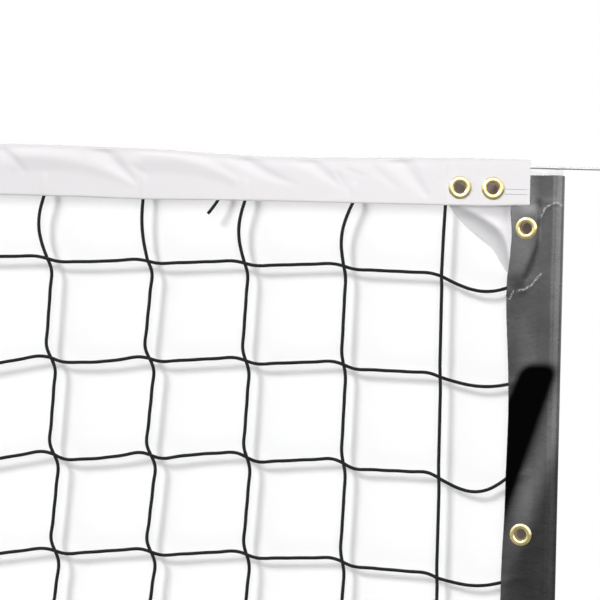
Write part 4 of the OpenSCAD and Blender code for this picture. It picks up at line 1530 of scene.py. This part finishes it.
@dataclass
class SideBand:
    """Black vinyl folded round a dowel and over the netting's edge, seamed between the two."""

    side: Side
    ply: float = 1.0 * MM
    half_gap: float = 2.2 * MM
    wrap_r: float = 10.3 * MM
    seam_x: float = SEAM_X
    step: float = 3.2 * MM
    notch_x: float = 4.8402
    edge_in: float = 1.4 * MM
    edge_out: float = 3.4 * MM

    def __post_init__(self) -> None:
        """Reads the band's place from the frame."""
        low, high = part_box("side_band_right")
        self.low, self.high, self.end = low.z, high.z, high.x
        self.notch_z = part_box("headband")[0].z
        self.flange = low.x
        self.dowel_x = middle("dowel_right", 0)

    def free_edge(self, z: np.ndarray) -> np.ndarray:
        """X of the flat part's free edge, which waves a little.

        Args:
            z: heights.

        Returns:
            X at each height.
        """
        wave = self.edge_out * hump(z, 2.168, 0.075) - self.edge_in * hump(z, 2.287, 0.040)
        bumps = 2.8 * MM * hump(z, 2.348, 0.026) + 1.3 * MM * hump(z, 2.070, 0.040)
        return self.flange + 0.5 * MM + wave + bumps

    def relief(self, x: np.ndarray, z: np.ndarray, rows: np.ndarray) -> np.ndarray:
        """How far the front stands out: creases, a step down by the seam, and the rows' cords.

        Args:
            x: places across the band.
            z: heights.
            rows: heights of the rows of cord where they end.

        Returns:
            The relief, in metres.
        """
        creases = (
            Crease((4.8517, 2.3690), (4.8607, 2.3814), 0.8 * MM, 1.8 * MM, 3 * MM, 0.6, 1.5 * MM),
            Crease((4.8607, 2.3814), (4.8717, 2.3802), 0.7 * MM, 2 * MM, 3 * MM, 0.6, 1.5 * MM),
            Crease((4.8264, 2.2939), (4.8364, 2.2958), 0.6 * MM, 1.8 * MM, 2.5 * MM, 0.8),
            Crease((4.8364, 2.2958), (4.8523, 2.3117), 0.6 * MM, 1.8 * MM, 2.5 * MM, 0.5),
        )
        out = sum(crease.rise(x, z) for crease in creases)
        tuck_x = 4.8490 - 13 * MM * smooth(z, 2.350, 2.300)
        tuck = smooth(x, tuck_x + 2.5 * MM, tuck_x - 2.0 * MM) * smooth(x, tuck_x - 24 * MM, tuck_x)
        out = out + 1.6 * MM * tuck * smooth(z, 2.294, 2.312) * smooth(z, 2.380, 2.372)
        nearest = np.min(np.abs(z[..., None] - rows - 0.35 * (x[..., None] - self.flange)), axis=-1)
        cords = 0.35 * MM * hump(nearest, 0.0, CORD_MARK) * smooth(x, self.seam_x, self.seam_x - 13 * MM)
        swell = 0.5 * MM * np.sin(ROUND * z / 0.137 + 60 * x) * smooth(x, self.dowel_x, self.seam_x)
        return out + cords + swell

    def section(self, edge: np.ndarray) -> tuple[np.ndarray, np.ndarray, np.ndarray]:
        """Points of the band's section at each height.

        It runs from the free edge along the front of the slope to the seam, along the tangent to
        the dowel's wrap, round it, and back along the rear to the free edge.

        Args:
            edge: X of the free edge at each height.

        Returns:
            X and Y of the points, heights by points, and how much of the relief each takes.
        """
        front, rear = self._tangent(-self.half_gap), self._tangent(self.half_gap)
        turn = np.linspace(front, rear + ROUND, 31)
        arc_x, arc_y = self.dowel_x + self.wrap_r * np.cos(turn), self.wrap_r * np.sin(turn)
        share = np.concatenate([np.ones(17), np.cos(turn - front).clip(0, 1), np.zeros(3), np.ones(13)])
        edge, ones = edge[:, None], np.ones((len(edge), 1))
        quarters, thirds = np.arange(4) / 4, np.arange(1, 4) / 3
        slope_x = np.concatenate(
            [
                edge + (self.notch_x - edge) * np.arange(9) / 9,
                ones * (self.notch_x + (self.seam_x - self.notch_x) * quarters),
            ],
            1,
        )
        slope_y = flange_lean(slope_x)
        seam_y = float(flange_lean(np.array(self.seam_x)))
        run_x = self.seam_x + (arc_x[0] - self.seam_x) * quarters
        run_y = (seam_y - self.half_gap) * (1 - quarters) + arc_y[0] * quarters
        back_x = arc_x[-1] + (self.seam_x - arc_x[-1]) * thirds
        back_y = arc_y[-1] * (1 - thirds) + (seam_y + self.half_gap) * thirds
        round_x, round_y = np.concatenate([run_x, arc_x, back_x]), np.concatenate([run_y, arc_y, back_y])
        x = np.concatenate([slope_x, ones * round_x, slope_x[:, ::-1]], 1)
        y = [slope_y - self.half_gap, ones * round_y, slope_y[:, ::-1] + self.half_gap]
        return x, np.concatenate(y, 1), share

    def _tangent(self, offset: float) -> float:
        """Angle of the point where a ply from the seam touches the dowel's wrap.

        Args:
            offset: the ply's Y from the slope's middle, at the seam.

        Returns:
            The angle.
        """
        at = np.array([self.seam_x - self.dowel_x, float(flange_lean(np.array(self.seam_x))) + offset])
        half = math.acos(self.wrap_r / float(np.linalg.norm(at)))
        toward = math.atan2(at[1], at[0])
        return toward + half if offset < 0 else toward - half

    def build(self, rows: np.ndarray) -> bpy.types.Object:
        """The folded sheet and its holes for the grommets.

        Args:
            rows: heights at which the rows of cord end.

        Returns:
            The sheet.
        """
        lower = np.linspace(self.notch_z, self.low, int((self.notch_z - self.low) / self.step))
        z = np.concatenate([np.linspace(self.high, self.notch_z, 10)[:-1], lower])
        x, y, share = self.section(self.free_edge(z))
        tall = np.broadcast_to(z[:, None], x.shape)
        y = y - share[None] * self.relief(x, tall, rows)
        cell_x = (x[:-1, :-1] + x[1:, 1:]) / 2
        cell_z = (tall[:-1, :-1] + tall[1:, 1:]) / 2
        keep = (cell_z < self.notch_z) | (cell_x > self.notch_x)
        flat_part = cell_x < self.seam_x
        for place in grommet_places()[HEAD_GROMMETS:]:
            keep &= ~((np.hypot(cell_x - place[0], cell_z - place[1]) < HOLE_CLEAR) & flat_part)
        across = run_length(np.stack([x[40], y[40]], 1))
        patch = grid_patch(xyz(x * self.side.value, y, tall), xyz(across, tall), keep)
        if self.side is Side.LEFT:
            patch.flip()
        word = self.side.word
        name, hides = f"side_band_sheet_{word}", [f"side_band_{word}"]
        band = piece(name, [patch], BLACK_VINYL, replaces=hides)
        thicken(band, self.ply)
        return band


@dataclass
class BottomBand:
    """Black vinyl folded up over the bottom rope."""

    ply: float = 1.0 * MM
    hem_z: float = 1.548
    seed: int = 8

    def __post_init__(self) -> None:
        """Reads the band's place from the frame."""
        low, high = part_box("bottom_band")
        self.low, self.high, self.end = low.z, high.z, high.x
        self.fold_r = high.y - self.ply / 2

    def build(self) -> None:
        """Front ply, fold and back ply, as one sheet: the headband's section upside down."""
        rng = np.random.default_rng(self.seed)
        x = np.linspace(-self.end, self.end, 760)
        nadir = self.low + self.ply / 2 + self.fold_r
        bend = np.linspace(0.0, np.pi, 9)[1:-1]
        ply_z = np.linspace(self.high, nadir, 12)
        z = np.concatenate([ply_z, nadir - self.fold_r * np.sin(bend), ply_z[::-1]])
        side = np.concatenate([-np.ones(12), -np.cos(bend), np.ones(12)])
        wide, tall = np.meshgrid(x, z, indexing="ij")
        place = np.arange(-self.end + 0.1, self.end, 0.11)
        place = place + rng.normal(scale=0.03, size=len(place))
        heights, drops = (rng.uniform(*span, len(place)) * MM for span in ((0.5, 1.5), (5, 25)))
        relief = sum(
            Crease((at, self.hem_z), (at + 0.05, self.hem_z - drop), height, 9 * MM, 12 * MM).rise(wide, tall)
            for at, height, drop in zip(place, heights, drops)
        )
        pinch = (self.fold_r - 2.2 * MM) * smooth(tall, nadir + 10 * MM, self.high - 8 * MM)
        fade = smooth(tall, nadir, nadir + 6 * MM)
        y = side[None] * (self.fold_r - pinch + relief * fade)
        across = run_length(np.stack([z, y[0]], 1))
        patch = grid_patch(xyz(wide, y, tall), xyz(across, wide))
        patch.flip()
        band = piece("bottom_band_sheet", [patch], BLACK_VINYL, replaces=["bottom_band"])
        thicken(band, self.ply)
        2 * self.end


@dataclass
class CornerWeb:
    """White vinyl across an upper corner, with a hollow free edge that turns over."""

    side: Side
    ply: float = 0.8 * MM
    reach: float = 61.5 * MM
    fall: float = 68 * MM
    tuck: float = 6 * MM
    hollow: float = 4.6 * MM
    belly: float = 1.9 * MM
    roll: float = 18 * MM

    def __post_init__(self) -> None:
        """Reads the corner's place from the frame."""
        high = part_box("corner_web_right")[1]
        self.x, self.z, self.y = high.x, high.z, middle("corner_web_right", 1)

    def build(self) -> bpy.types.Object:
        """A sheet between the free edge and the two edges that the bands hide.

        At a along the corner and b across it, the point is (1 - b) of the free edge, a chord that
        bends out by the belly and in by the hollow, plus b of the hidden edge, which runs along the
        headband to the corner and down the side band.

        Returns:
            The sheet.
        """
        a = np.linspace(0.0, 1.0, 41)[:, None]
        b = np.linspace(0.0, 1.0, 25)[None]
        half = (self.hollow * hump(a, 0.66, 0.19) - self.belly * hump(a, 0.2, 0.15)) / math.sqrt(2)
        half = half * smooth(a, 0.0, 0.1) * smooth(a, 1.0, 0.9)
        free = xyz(self.x - self.reach * (1 - a) + half, self.z - self.fall * a + half)
        along = np.clip(2 * a, 0, 1), np.clip(2 * a - 1, 0, 1)
        far_x = self.x + self.tuck
        beside = self.x - self.reach + (self.reach + self.tuck) * along[0]
        hidden = xyz(beside, self.z + self.tuck - (self.fall + self.tuck) * along[1])
        at = (1 - b[..., None]) * free + b[..., None] * hidden
        depth = np.linalg.norm(at - free, axis=-1)
        line = self.roll * np.sin(np.pi * a) ** 0.7
        turned = smooth(depth, line + 2.5 * MM, line - 2.5 * MM)
        lift = 1.3 * MM * hump(depth, line, 5 * MM) * np.sin(np.pi * a)
        sway = 0.25 * MM * np.sin(ROUND * (at[..., 0] + at[..., 1]) / 0.045)
        inner = smooth(at[..., 0], far_x, self.x - 14 * MM)
        y = self.y + 1.2 * MM - (lift + sway) * inner
        y = y + 1.5 * MM * smooth(at[..., 0], self.x - 8 * MM, self.x)
        patch = grid_patch(xyz(at[..., 0] * self.side.value, y, at[..., 1]), at)
        if self.side is Side.LEFT:
            patch.flip()
        # The turned-over strip shows the back face's colour, and painted shade deepens it from the free edge
        # towards the fold line.
        grey = {"reverse_and_shade": turned * (0.45 + 0.55 * np.clip(depth / np.maximum(line, 1e-6), 0, 1))}
        word = self.side.word
        name, hides = f"corner_web_sheet_{word}", [f"corner_web_{word}"]
        web = piece(name, [patch], WHITE_VINYL, replaces=hides, numbers=grey)
        thicken(web, self.ply)
        return web


@dataclass
class Grommets:
    """The brass grommets of one end of the net, each an eyelet rolled over a washer."""

    side: Side
    hole_r: float = 5.5 * MM
    rim_r: float = 11.5 * MM
    crown: float = 1.9 * MM
    head_face: float = 3.05 * MM
    side_face: float = 2.7 * MM
    side_lean: float = 0.33

    def profile(self, face: float) -> np.ndarray:
        """Closed section, as radius and depth.

        The front is a half ellipse from the hole's lip to the rim, crown high; the barrel joins
        it to a flat washer behind, which the barrel's end is rolled over.

        Args:
            face: distance of the cloth's faces from the middle.

        Returns:
            The section's points, in order.
        """
        t = np.linspace(0.0, np.pi, 15)
        middle, half = (self.rim_r + self.hole_r) / 2, (self.rim_r - self.hole_r) / 2
        dome = np.stack([middle + half * np.cos(t), -face - self.crown * np.sin(t) ** 0.8], 1)
        roll = np.linspace(0.0, np.pi, 7)
        curl_r = self.hole_r + 1.1 * MM - 1.1 * MM * np.cos(roll)
        curl = np.stack([curl_r, face + 0.9 * MM + 1.1 * MM * np.sin(roll)], 1)
        washer = [
            (self.hole_r + 2.3 * MM, face + 0.9 * MM),
            (self.rim_r - 0.4 * MM, face + 0.9 * MM),
            (self.rim_r, face + 0.5 * MM),
            (self.rim_r, face - 0.2 * MM),
            (self.hole_r + 0.9 * MM, face - 0.2 * MM),
            (self.hole_r + 0.9 * MM, -face + 0.4 * MM),
            (self.rim_r - 0.3 * MM, -face + 0.4 * MM),
        ]
        return np.concatenate([dome, curl, washer])

    def build(self) -> None:
        """Two grommets in the headband, and four down the side band, which lean with it."""
        made = []
        for number, (x, z) in enumerate(grommet_places()):
            on_side = number >= HEAD_GROMMETS
            lean = -self.side_lean * self.side.value if on_side else 0.0
            y = float(flange_lean(np.array(x))) if on_side else 0.0
            face = self.side_face if on_side else self.head_face
            made.append(lathe(self.profile(face), (x * self.side.value, y, z), lean, 44))
        word = self.side.word
        piece(f"grommets_turned_{word}", made, BRASS, replaces=[f"grommets_{word}"])


# ---- Cable and rope ----


@dataclass
class SteelCable:
    """Twisted steel cable: through the headband, over the pulley, down and round the drum."""

    radius: float = 1.6 * MM
    lay: float = 24 * MM
    drum_r: float = 22 * MM
    pitch: float = 3.7 * MM
    turns: int = 4
    step: float = 2.5 * MM

    def __post_init__(self) -> None:
        """Reads the pulley's and the drum's places from the frame."""
        low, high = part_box("top_cable")
        self.start, self.foot = low.x, low.z
        self.run_z = high.z - self.radius
        self.post_x = middle("pulley", 0)
        self.wheel_r = high.x - self.radius - self.post_x
        self.axle_z = self.run_z - self.wheel_r
        self.drum_x, self.drum_z = middle("drum", 0), middle("drum", 2)

    def run(self) -> np.ndarray:
        """The straight run, a quarter turn over the pulley and the fall to the drum.

        Returns:
            The path, points by 3.
        """
        straight = xyz(np.arange(self.start, self.post_x, self.step), 0.0, self.run_z)
        turn = np.linspace(0.0, np.pi / 2, 36)
        over_x, over_z = self.wheel_r * np.sin(turn), self.wheel_r * np.cos(turn)
        over = xyz(self.post_x + over_x, 0.0, self.axle_z + over_z)
        z = np.arange(self.axle_z, self.foot, -self.step)[1:]
        return np.concatenate([straight, over, xyz(self.post_x + self.wheel_r, 0.0, z)])

    def winding(self) -> np.ndarray:
        """The turns on the drum: a helix of one pitch a turn, towards the gearbox.

        Returns:
            The path, points by 3.
        """
        turn = np.linspace(0.0, ROUND * self.turns, self.turns * 48)
        x = self.drum_x - self.drum_r * np.cos(turn)
        helix = xyz(x, -self.pitch * turn / ROUND, self.drum_z - self.drum_r * np.sin(turn))
        lead = helix[:1] + np.array([[0.0, 0.0, self.foot - self.drum_z]])
        return np.concatenate([lead, helix])

    def build(self) -> None:
        """The run and the winding, each of six strands."""
        parts = {"cable_run": (self.run(), "top_cable"), "cable_turns": (self.winding(), "cable_winding")}
        for name, (path, node) in parts.items():
            made = [sweep(path[None], self.radius, 12, 0.13, self.lay)]
            piece(name, made, CABLE_STEEL, replaces=[node])


@dataclass
class BottomRope:
    """Braided rope through the bottom band, with a whipped eye at each end."""

    radius: float = 2.75 * MM
    eye_r: float = 9 * MM
    whip_l: float = 24 * MM
    twine_r: float = 0.55 * MM
    flatness: float = 0.62

    def __post_init__(self) -> None:
        """Reads the rope's place from the frame."""
        self.z = middle("bottom_rope", 2)
        self.eye_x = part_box("bottom_rope")[1].x - self.radius - self.eye_r

    def build(self) -> None:
        """The run, and at each end its eye and the turns of twine over the splice."""
        whip_out = self.eye_x - self.eye_r
        whip_in = whip_out - self.whip_l
        x = np.linspace(-whip_in, whip_in, 1100)
        made = [sweep(xyz(x, 0.0, self.z)[None], self.radius, 12)]
        turn = np.linspace(-np.pi, np.pi, 60)
        turns = int(self.whip_l / (2.1 * self.twine_r))
        angle = np.linspace(0.0, ROUND * turns, 20 * turns)
        reach = 2 * self.radius + 0.4 * MM
        wound = []
        for sign in (-1, 1):
            eye_x = sign * (self.eye_x + self.eye_r * np.cos(turn))
            made.append(sweep(xyz(eye_x, 0.0, self.z + self.eye_r * np.sin(turn))[None], self.radius, 12))
            along = sign * np.linspace(whip_in, whip_out, len(angle))
            round_y, round_z = self.flatness * reach * np.cos(angle), reach * np.sin(angle)
            wound.append(self._twine(xyz(along, round_y, self.z + round_z)))
            core = xyz(sign * np.linspace(whip_in, whip_out, 8), 0.0, self.z)
            core = sweep(core[None], 2 * self.radius, 20)
            core.points[:, 1] *= self.flatness
            wound.append(core)
        piece("rope_run", made, EDGE_ROPE, replaces=["bottom_rope"])
        piece("rope_whipping", wound, THREAD_BLACK)

    def _twine(self, path: np.ndarray) -> Patch:
        """A thin round thread on a helix about X, whose rings stand along the helix's radius and X.

        Args:
            path: the helix.

        Returns:
            The thread, as a patch.
        """
        out = (path - [0.0, 0.0, path[:, 2].mean()]) * [0.0, 1.0, 1.0]
        out /= np.linalg.norm(out, axis=1, keepdims=True)
        uv = np.arange(5) / 5, np.arange(len(path)) * 1e-3
        made = tube(path, out, np.array([1.0, 0.0, 0.0]), self.twine_r, uv)
        if path[-1, 0] > path[0, 0]:
            made.flip()
        return made


# ---- Posts ----


@dataclass
class Posts:
    """The posts' hard parts keep their CAD shapes, and get finishes and weld beads here."""

    bead_r: float = 2.6 * MM
    socket_wall: float = 8.3 * MM
    rib_half: float = 4 * MM
    rib_reach: float = 219 * MM

    def dress(self, frame: Mapping[str, object]) -> int:
        """Gives each CAD node that still shows the finish of its slot.


        Returns:
            The number of nodes that were dressed.
        """
        slots = {part["node"]: part["material_slot"] for part in frame["record"]["subparts"]}
        dressed = 0
        for name, node in frame["nodes"].items():
            if node.hide_render:
                continue
            node.data.materials.clear()
            node.data.materials.append(FINISHES[slots[name]].material())
            dressed += 1
        return dressed

    def welds(self) -> None:
        """A rippled bead round each socket's foot and along each rib."""
        for side in Side:
            low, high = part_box(f"outer_tube_{side.word}")
            centre = middle(f"outer_tube_{side.word}", 0)
            socket_r = (high.x - low.x) / 2 + self.socket_wall
            turn = np.linspace(-np.pi, np.pi, 240)
            made = [self._bead(xyz(centre + socket_r * np.cos(turn), socket_r * np.sin(turn), low.z))]
            reach = np.linspace(socket_r + 3 * MM, self.rib_reach, 90)
            for way in math.pi * np.arange(0.25, 2.0, 0.5):
                c, s = math.cos(way), math.sin(way)
                for aside in (-self.rib_half, self.rib_half):
                    line = xyz(centre + reach * c - aside * s, reach * s + aside * c, low.z)
                    made.append(self._bead(line))
            piece(f"weld_beads_{side.word}", made, FINISHES["base"], body="root")

    def _bead(self, path: np.ndarray) -> Patch:
        """A weld bead along a level line: its radius ripples as r (1 + 0.14 |sin|) every 3.5 mm.

        Args:
            path: the line, points by 3.

        Returns:
            The bead, as a patch.
        """
        up = np.array([0.0, 0.0, 1.0])
        tangent = np.gradient(path, axis=0)
        tangent /= np.linalg.norm(tangent, axis=1, keepdims=True)
        gone = run_length(path)
        ripple = self.bead_r * (1 + 0.14 * np.abs(np.sin(np.pi * gone / (3.5 * MM))))
        made = tube(path, np.cross(tangent, up), up, ripple, (np.arange(8) / 8, gone))
        made.flip()
        ring, last = np.arange(8), (len(path) - 1) * 8
        after = (ring + 1) % 8
        tips = np.full(8, len(path) * 8), np.full(8, len(path) * 8 + 1)
        first, final = np.stack([tips[0], ring, after], 1), np.stack([tips[1], after + last, ring + last], 1)
        made.fans = np.concatenate([first, final])
        made.points = np.concatenate([made.points, path[:1], path[-1:]])
        return made


# ---- Studio ----


@dataclass(frozen=True)
class Sun:
    """A distant soft light: the way towards it, its share of the light and its width in radians.

    The share is that of the light on an upright surface across the view.
    """

    name: str
    way: Colour
    share: float
    spread: float


@dataclass
class Studio:
    """Pale floor, a white board close behind the net's corner, soft light and the camera."""

    view_x: float = 4.613
    view_z: float = 2.280
    view_w: float = 0.600
    distance: float = 2.0
    roll: float = math.radians(1.36)
    board_y: float = 12.6 * MM
    board_top: float = 2.4215
    board_half: float = 0.32
    level: float = 1.09
    suns: tuple[Sun, ...] = (
        Sun("key", (-0.618, -0.618, 0.487), 0.43, 0.26),
        Sun("side", (-0.85, -0.35, -0.38), 0.15, 0.5),
        Sun("front", (0.0, -0.92, 0.38), 0.34, 0.75),
        Sun("rake", (0.72, -0.28, 0.62), 0.32, 0.25),
        Sun("rim", (0.84, -0.54, 0.1), 0.46, 1.2),
        Sun("back", (0.35, 0.80, 0.48), 0.62, 0.6),
    )
    ambient: float = 0.14
    floor_tone: float = 0.76
    floor_bounce: float = 0.2
    board_tone: float = 0.9
    board_bounce: float = 0.5
    floor_r: float = 7.0
    floor_half: float = 150.0
    floor_glow: float = 0.06
    gloss_level: float = 1.5

    def build(self) -> None:
        """Sets the whole studio up."""
        self.camera()
        self.world()
        self.lights = {sun.name: self.hang(sun) for sun in self.suns}
        self.floor()
        self.board()
        bpy.context.scene.view_settings.view_transform = "Standard"

    def camera(self) -> None:
        """A long lens square to the net, rolled a little."""
        lens = bpy.data.cameras.new("camera")
        lens.sensor_width = 36.0
        lens.lens = lens.sensor_width * self.distance / self.view_w
        lens.clip_end = 200.0
        made = bpy.data.objects.new("camera", lens)
        made.location = (self.view_x, -self.distance, self.view_z)
        made.rotation_euler = (math.pi / 2, -self.roll, 0.0)
        bpy.context.scene.collection.objects.link(made)
        bpy.context.scene.camera = made

    def world(self) -> None:
        """White behind everything, and dimmer as a light, so that the key light can model."""
        world = bpy.data.worlds.new("studio")
        world.use_nodes = True
        bpy.context.scene.world = world
        graph = Graph(world.node_tree)
        seen, soft, gloss = (
            graph.node("ShaderNodeBackground", {}, {"Color": colour, "Strength": strength})
            for colour, strength in (
                (WHITE, 1.0), ((0.97, 0.98, 1.0), self.ambient), ((0.99, 0.99, 1.0), self.gloss_level)
            )
        )
        light = graph.mix(graph.ray("Glossy"), soft, gloss)
        graph.end(graph.mix(graph.ray("Camera"), light, seen), "World")

    def hang(self, sun: Sun) -> bpy.types.Object:
        """Makes one of the suns.

        Args:
            sun: its way, share and width.

        Returns:
            The light.
        """
        light = bpy.data.lights.new(sun.name, "SUN")
        towards = Vector(sun.way).normalized()
        light.energy = sun.share * self.level * math.pi / abs(towards.y)
        light.angle = sun.spread
        made = bpy.data.objects.new(sun.name, light)
        made.rotation_mode = "QUATERNION"
        made.rotation_quaternion = towards.to_track_quat("Z", "Y")
        made.location = towards * 5 + Vector((self.view_x, 0.0, self.view_z))
        bpy.context.scene.collection.objects.link(made)
        return made

    @staticmethod
    def _group(name: str, pieces: Sequence[bpy.types.Object], state: str) -> bpy.types.Collection:
        """A collection of pieces for a light, which it includes or leaves out.

        Args:
            name: its name.
            pieces: what is in it.
            state: whether to include them or to leave them out.

        Returns:
            The collection.
        """
        group = bpy.data.collections.new(name)
        for shown in pieces:
            group.objects.link(shown)
        for kept in group.collection_objects:
            kept.light_linking.link_state = state
        return group

    def settle(
        self, band: bpy.types.Object, webs: Sequence[bpy.types.Object], sides: Sequence[bpy.types.Object]
    ) -> None:
        """Fits the lights to the cloth.

        The headband alone casts a soft shade in the front light and none in the key and side
        lights, the raking light falls on white cloth alone, and the rim light on black alone.

        Args:
            band: the headband.
            webs: the corner webs.
            sides: the side bands.
        """
        cloth = [band, *webs]
        rules = (
            ("key", "blocker", [band], "EXCLUDE"),
            ("side", "blocker", [band], "EXCLUDE"),
            ("front", "blocker", [band], "INCLUDE"),
            ("rim", "receiver", sides, "INCLUDE"),
            ("rake", "receiver", cloth, "INCLUDE"),
            ("rake", "blocker", cloth, "INCLUDE"),
        )
        for name, part, pieces, state in rules:
            group = self._group(f"{name}_{part}", pieces, state)
            setattr(self.lights[name].light_linking, f"{part}_collection", group)

    def _plain(
        self, name: str, grey: float, bounce: float, shine: float, hole_shade_depth: float = 0.0
    ) -> tuple[Graph, bpy.types.Material, bpy.types.Node]:
        """Starts a matt stage finish.

        Args:
            name: its name.
            grey: its tone to the camera.
            bounce: the tone that it lights other things with.
            shine: its brightness in reflections.
            hole_shade_depth: how much darker the painted shade makes it close behind the grommets' holes.

        Returns:
            Its graph, the material and its shader, which shines in reflections.
        """
        made, graph = new_material(name)
        tone = graph.blend(shade(WHITE, bounce), shade(WHITE, grey), graph.ray("Camera"))
        if hole_shade_depth > 0:
            x, _, z = graph.split(graph.place())
            for at_x, at_z in grommet_places()[:BOARD_GROMMETS]:
                # Painted shade: the board darkens to a brown grey close behind each grommet's hole.
                dark = (x - at_x).hypot(z - at_z).step(9 * MM, 5.5 * MM) * hole_shade_depth
                tone = graph.blend(tone, (0.15, 0.10, 0.09), dark)
        matt = graph.node("ShaderNodeBsdfDiffuse", {}, {"Color": tone})
        return graph, made, graph.mix(graph.ray("Glossy"), matt, graph.emission(tone, shine))

    def _panel(self, name: str, corners: Sequence[Colour], material: bpy.types.Material) -> bpy.types.Object:
        """A flat stage panel of given corners.

        Args:
            name: its name.
            corners: its corners, in order.
            material: its material.

        Returns:
            The panel.
        """
        mesh = bpy.data.meshes.new(name)
        mesh.from_pydata([tuple(c) for c in corners], [], [tuple(range(len(corners)))])
        mesh.materials.append(material)
        mesh.update()
        made = bpy.data.objects.new(name, mesh)
        bpy.context.scene.collection.objects.link(made)
        return made

    def floor(self) -> None:
        """A wide pale floor that brightens to plain white far out."""
        graph, paint, matt = self._plain("floor", self.floor_tone, self.floor_bounce, 2.5)
        x, y, _ = graph.split(graph.place())
        out = x.hypot(y).step(self.floor_r, 1.6 * self.floor_r)
        seen = graph.ray("Camera")
        glow = graph.emission(WHITE, self.floor_glow)
        lit = graph.node("ShaderNodeAddShader", {}, {0: matt.outputs[0], 1: glow.outputs[0]})
        graph.end(graph.mix(out * seen, graph.mix(seen, matt, lit), graph.emission(WHITE, 1.0)))
        r = self.floor_half
        floor = self._panel("floor", [(-r, -r, 0), (r, -r, 0), (r, r, 0), (-r, r, 0)], paint)
        floor.visible_shadow = False

    def board(self) -> None:
        """A white board just behind the corner, which catches the net's shadows, with painted shade behind
        the grommets' holes.
        """
        graph, paint, matt = self._plain("board", self.board_tone, self.board_bounce, 2.6, 0.85)
        back = Value(graph, graph.node("ShaderNodeNewGeometry").outputs["Backfacing"])
        graph.end(graph.mix(back, matt, graph.node("ShaderNodeBsdfTransparent")))
        y, high = self.board_y, self.board_top
        left, right = self.view_x - self.board_half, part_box("side_band_right")[1].x
        low = self.view_z - self.board_half
        corners = [(left, y, low), (right, y, low), (right, y, high), (left, y, high)]
        board = self._panel("board", corners, paint)
        board.visible_shadow = False


def main() -> None:
    """Builds the sub-assemblies in order."""
    logging.basicConfig(level=logging.INFO, format="%(name)s: %(message)s")
    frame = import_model()
    studio = Studio()
    studio.build()
    LOG.info("studio built")
    LaceEnd().build()
    LOG.info("lace end built")
    net = Netting()
    net.build()
    LOG.info("netting built: %d uprights, %d rows", net.columns + 1, net.rows)
    lower_edge = np.full((net.columns + 1, 1), net.band_drop)
    band = Headband().build(net.upright_x(lower_edge)[:, 0] + net.head)
    LOG.info("headband built")
    row_ends = np.array([net.row(k, np.array([FREE_EDGE_X]))[0, 2] for k in range(net.rows)])
    sides, webs = [], []
    for side in Side:
        sides.append(SideBand(side).build(row_ends))
        webs.append(CornerWeb(side).build())
        Grommets(side).build()
        LOG.info("%s end built", side.word)
    studio.settle(band, webs, sides)
    BottomBand().build()
    LOG.info("bottom band built")
    SteelCable().build()
    BottomRope().build()
    LOG.info("cable and rope built")
    posts = Posts()
    posts.welds()
    LOG.info("posts dressed: %d nodes", posts.dress(frame))


if __name__ == "__main__":
    main()
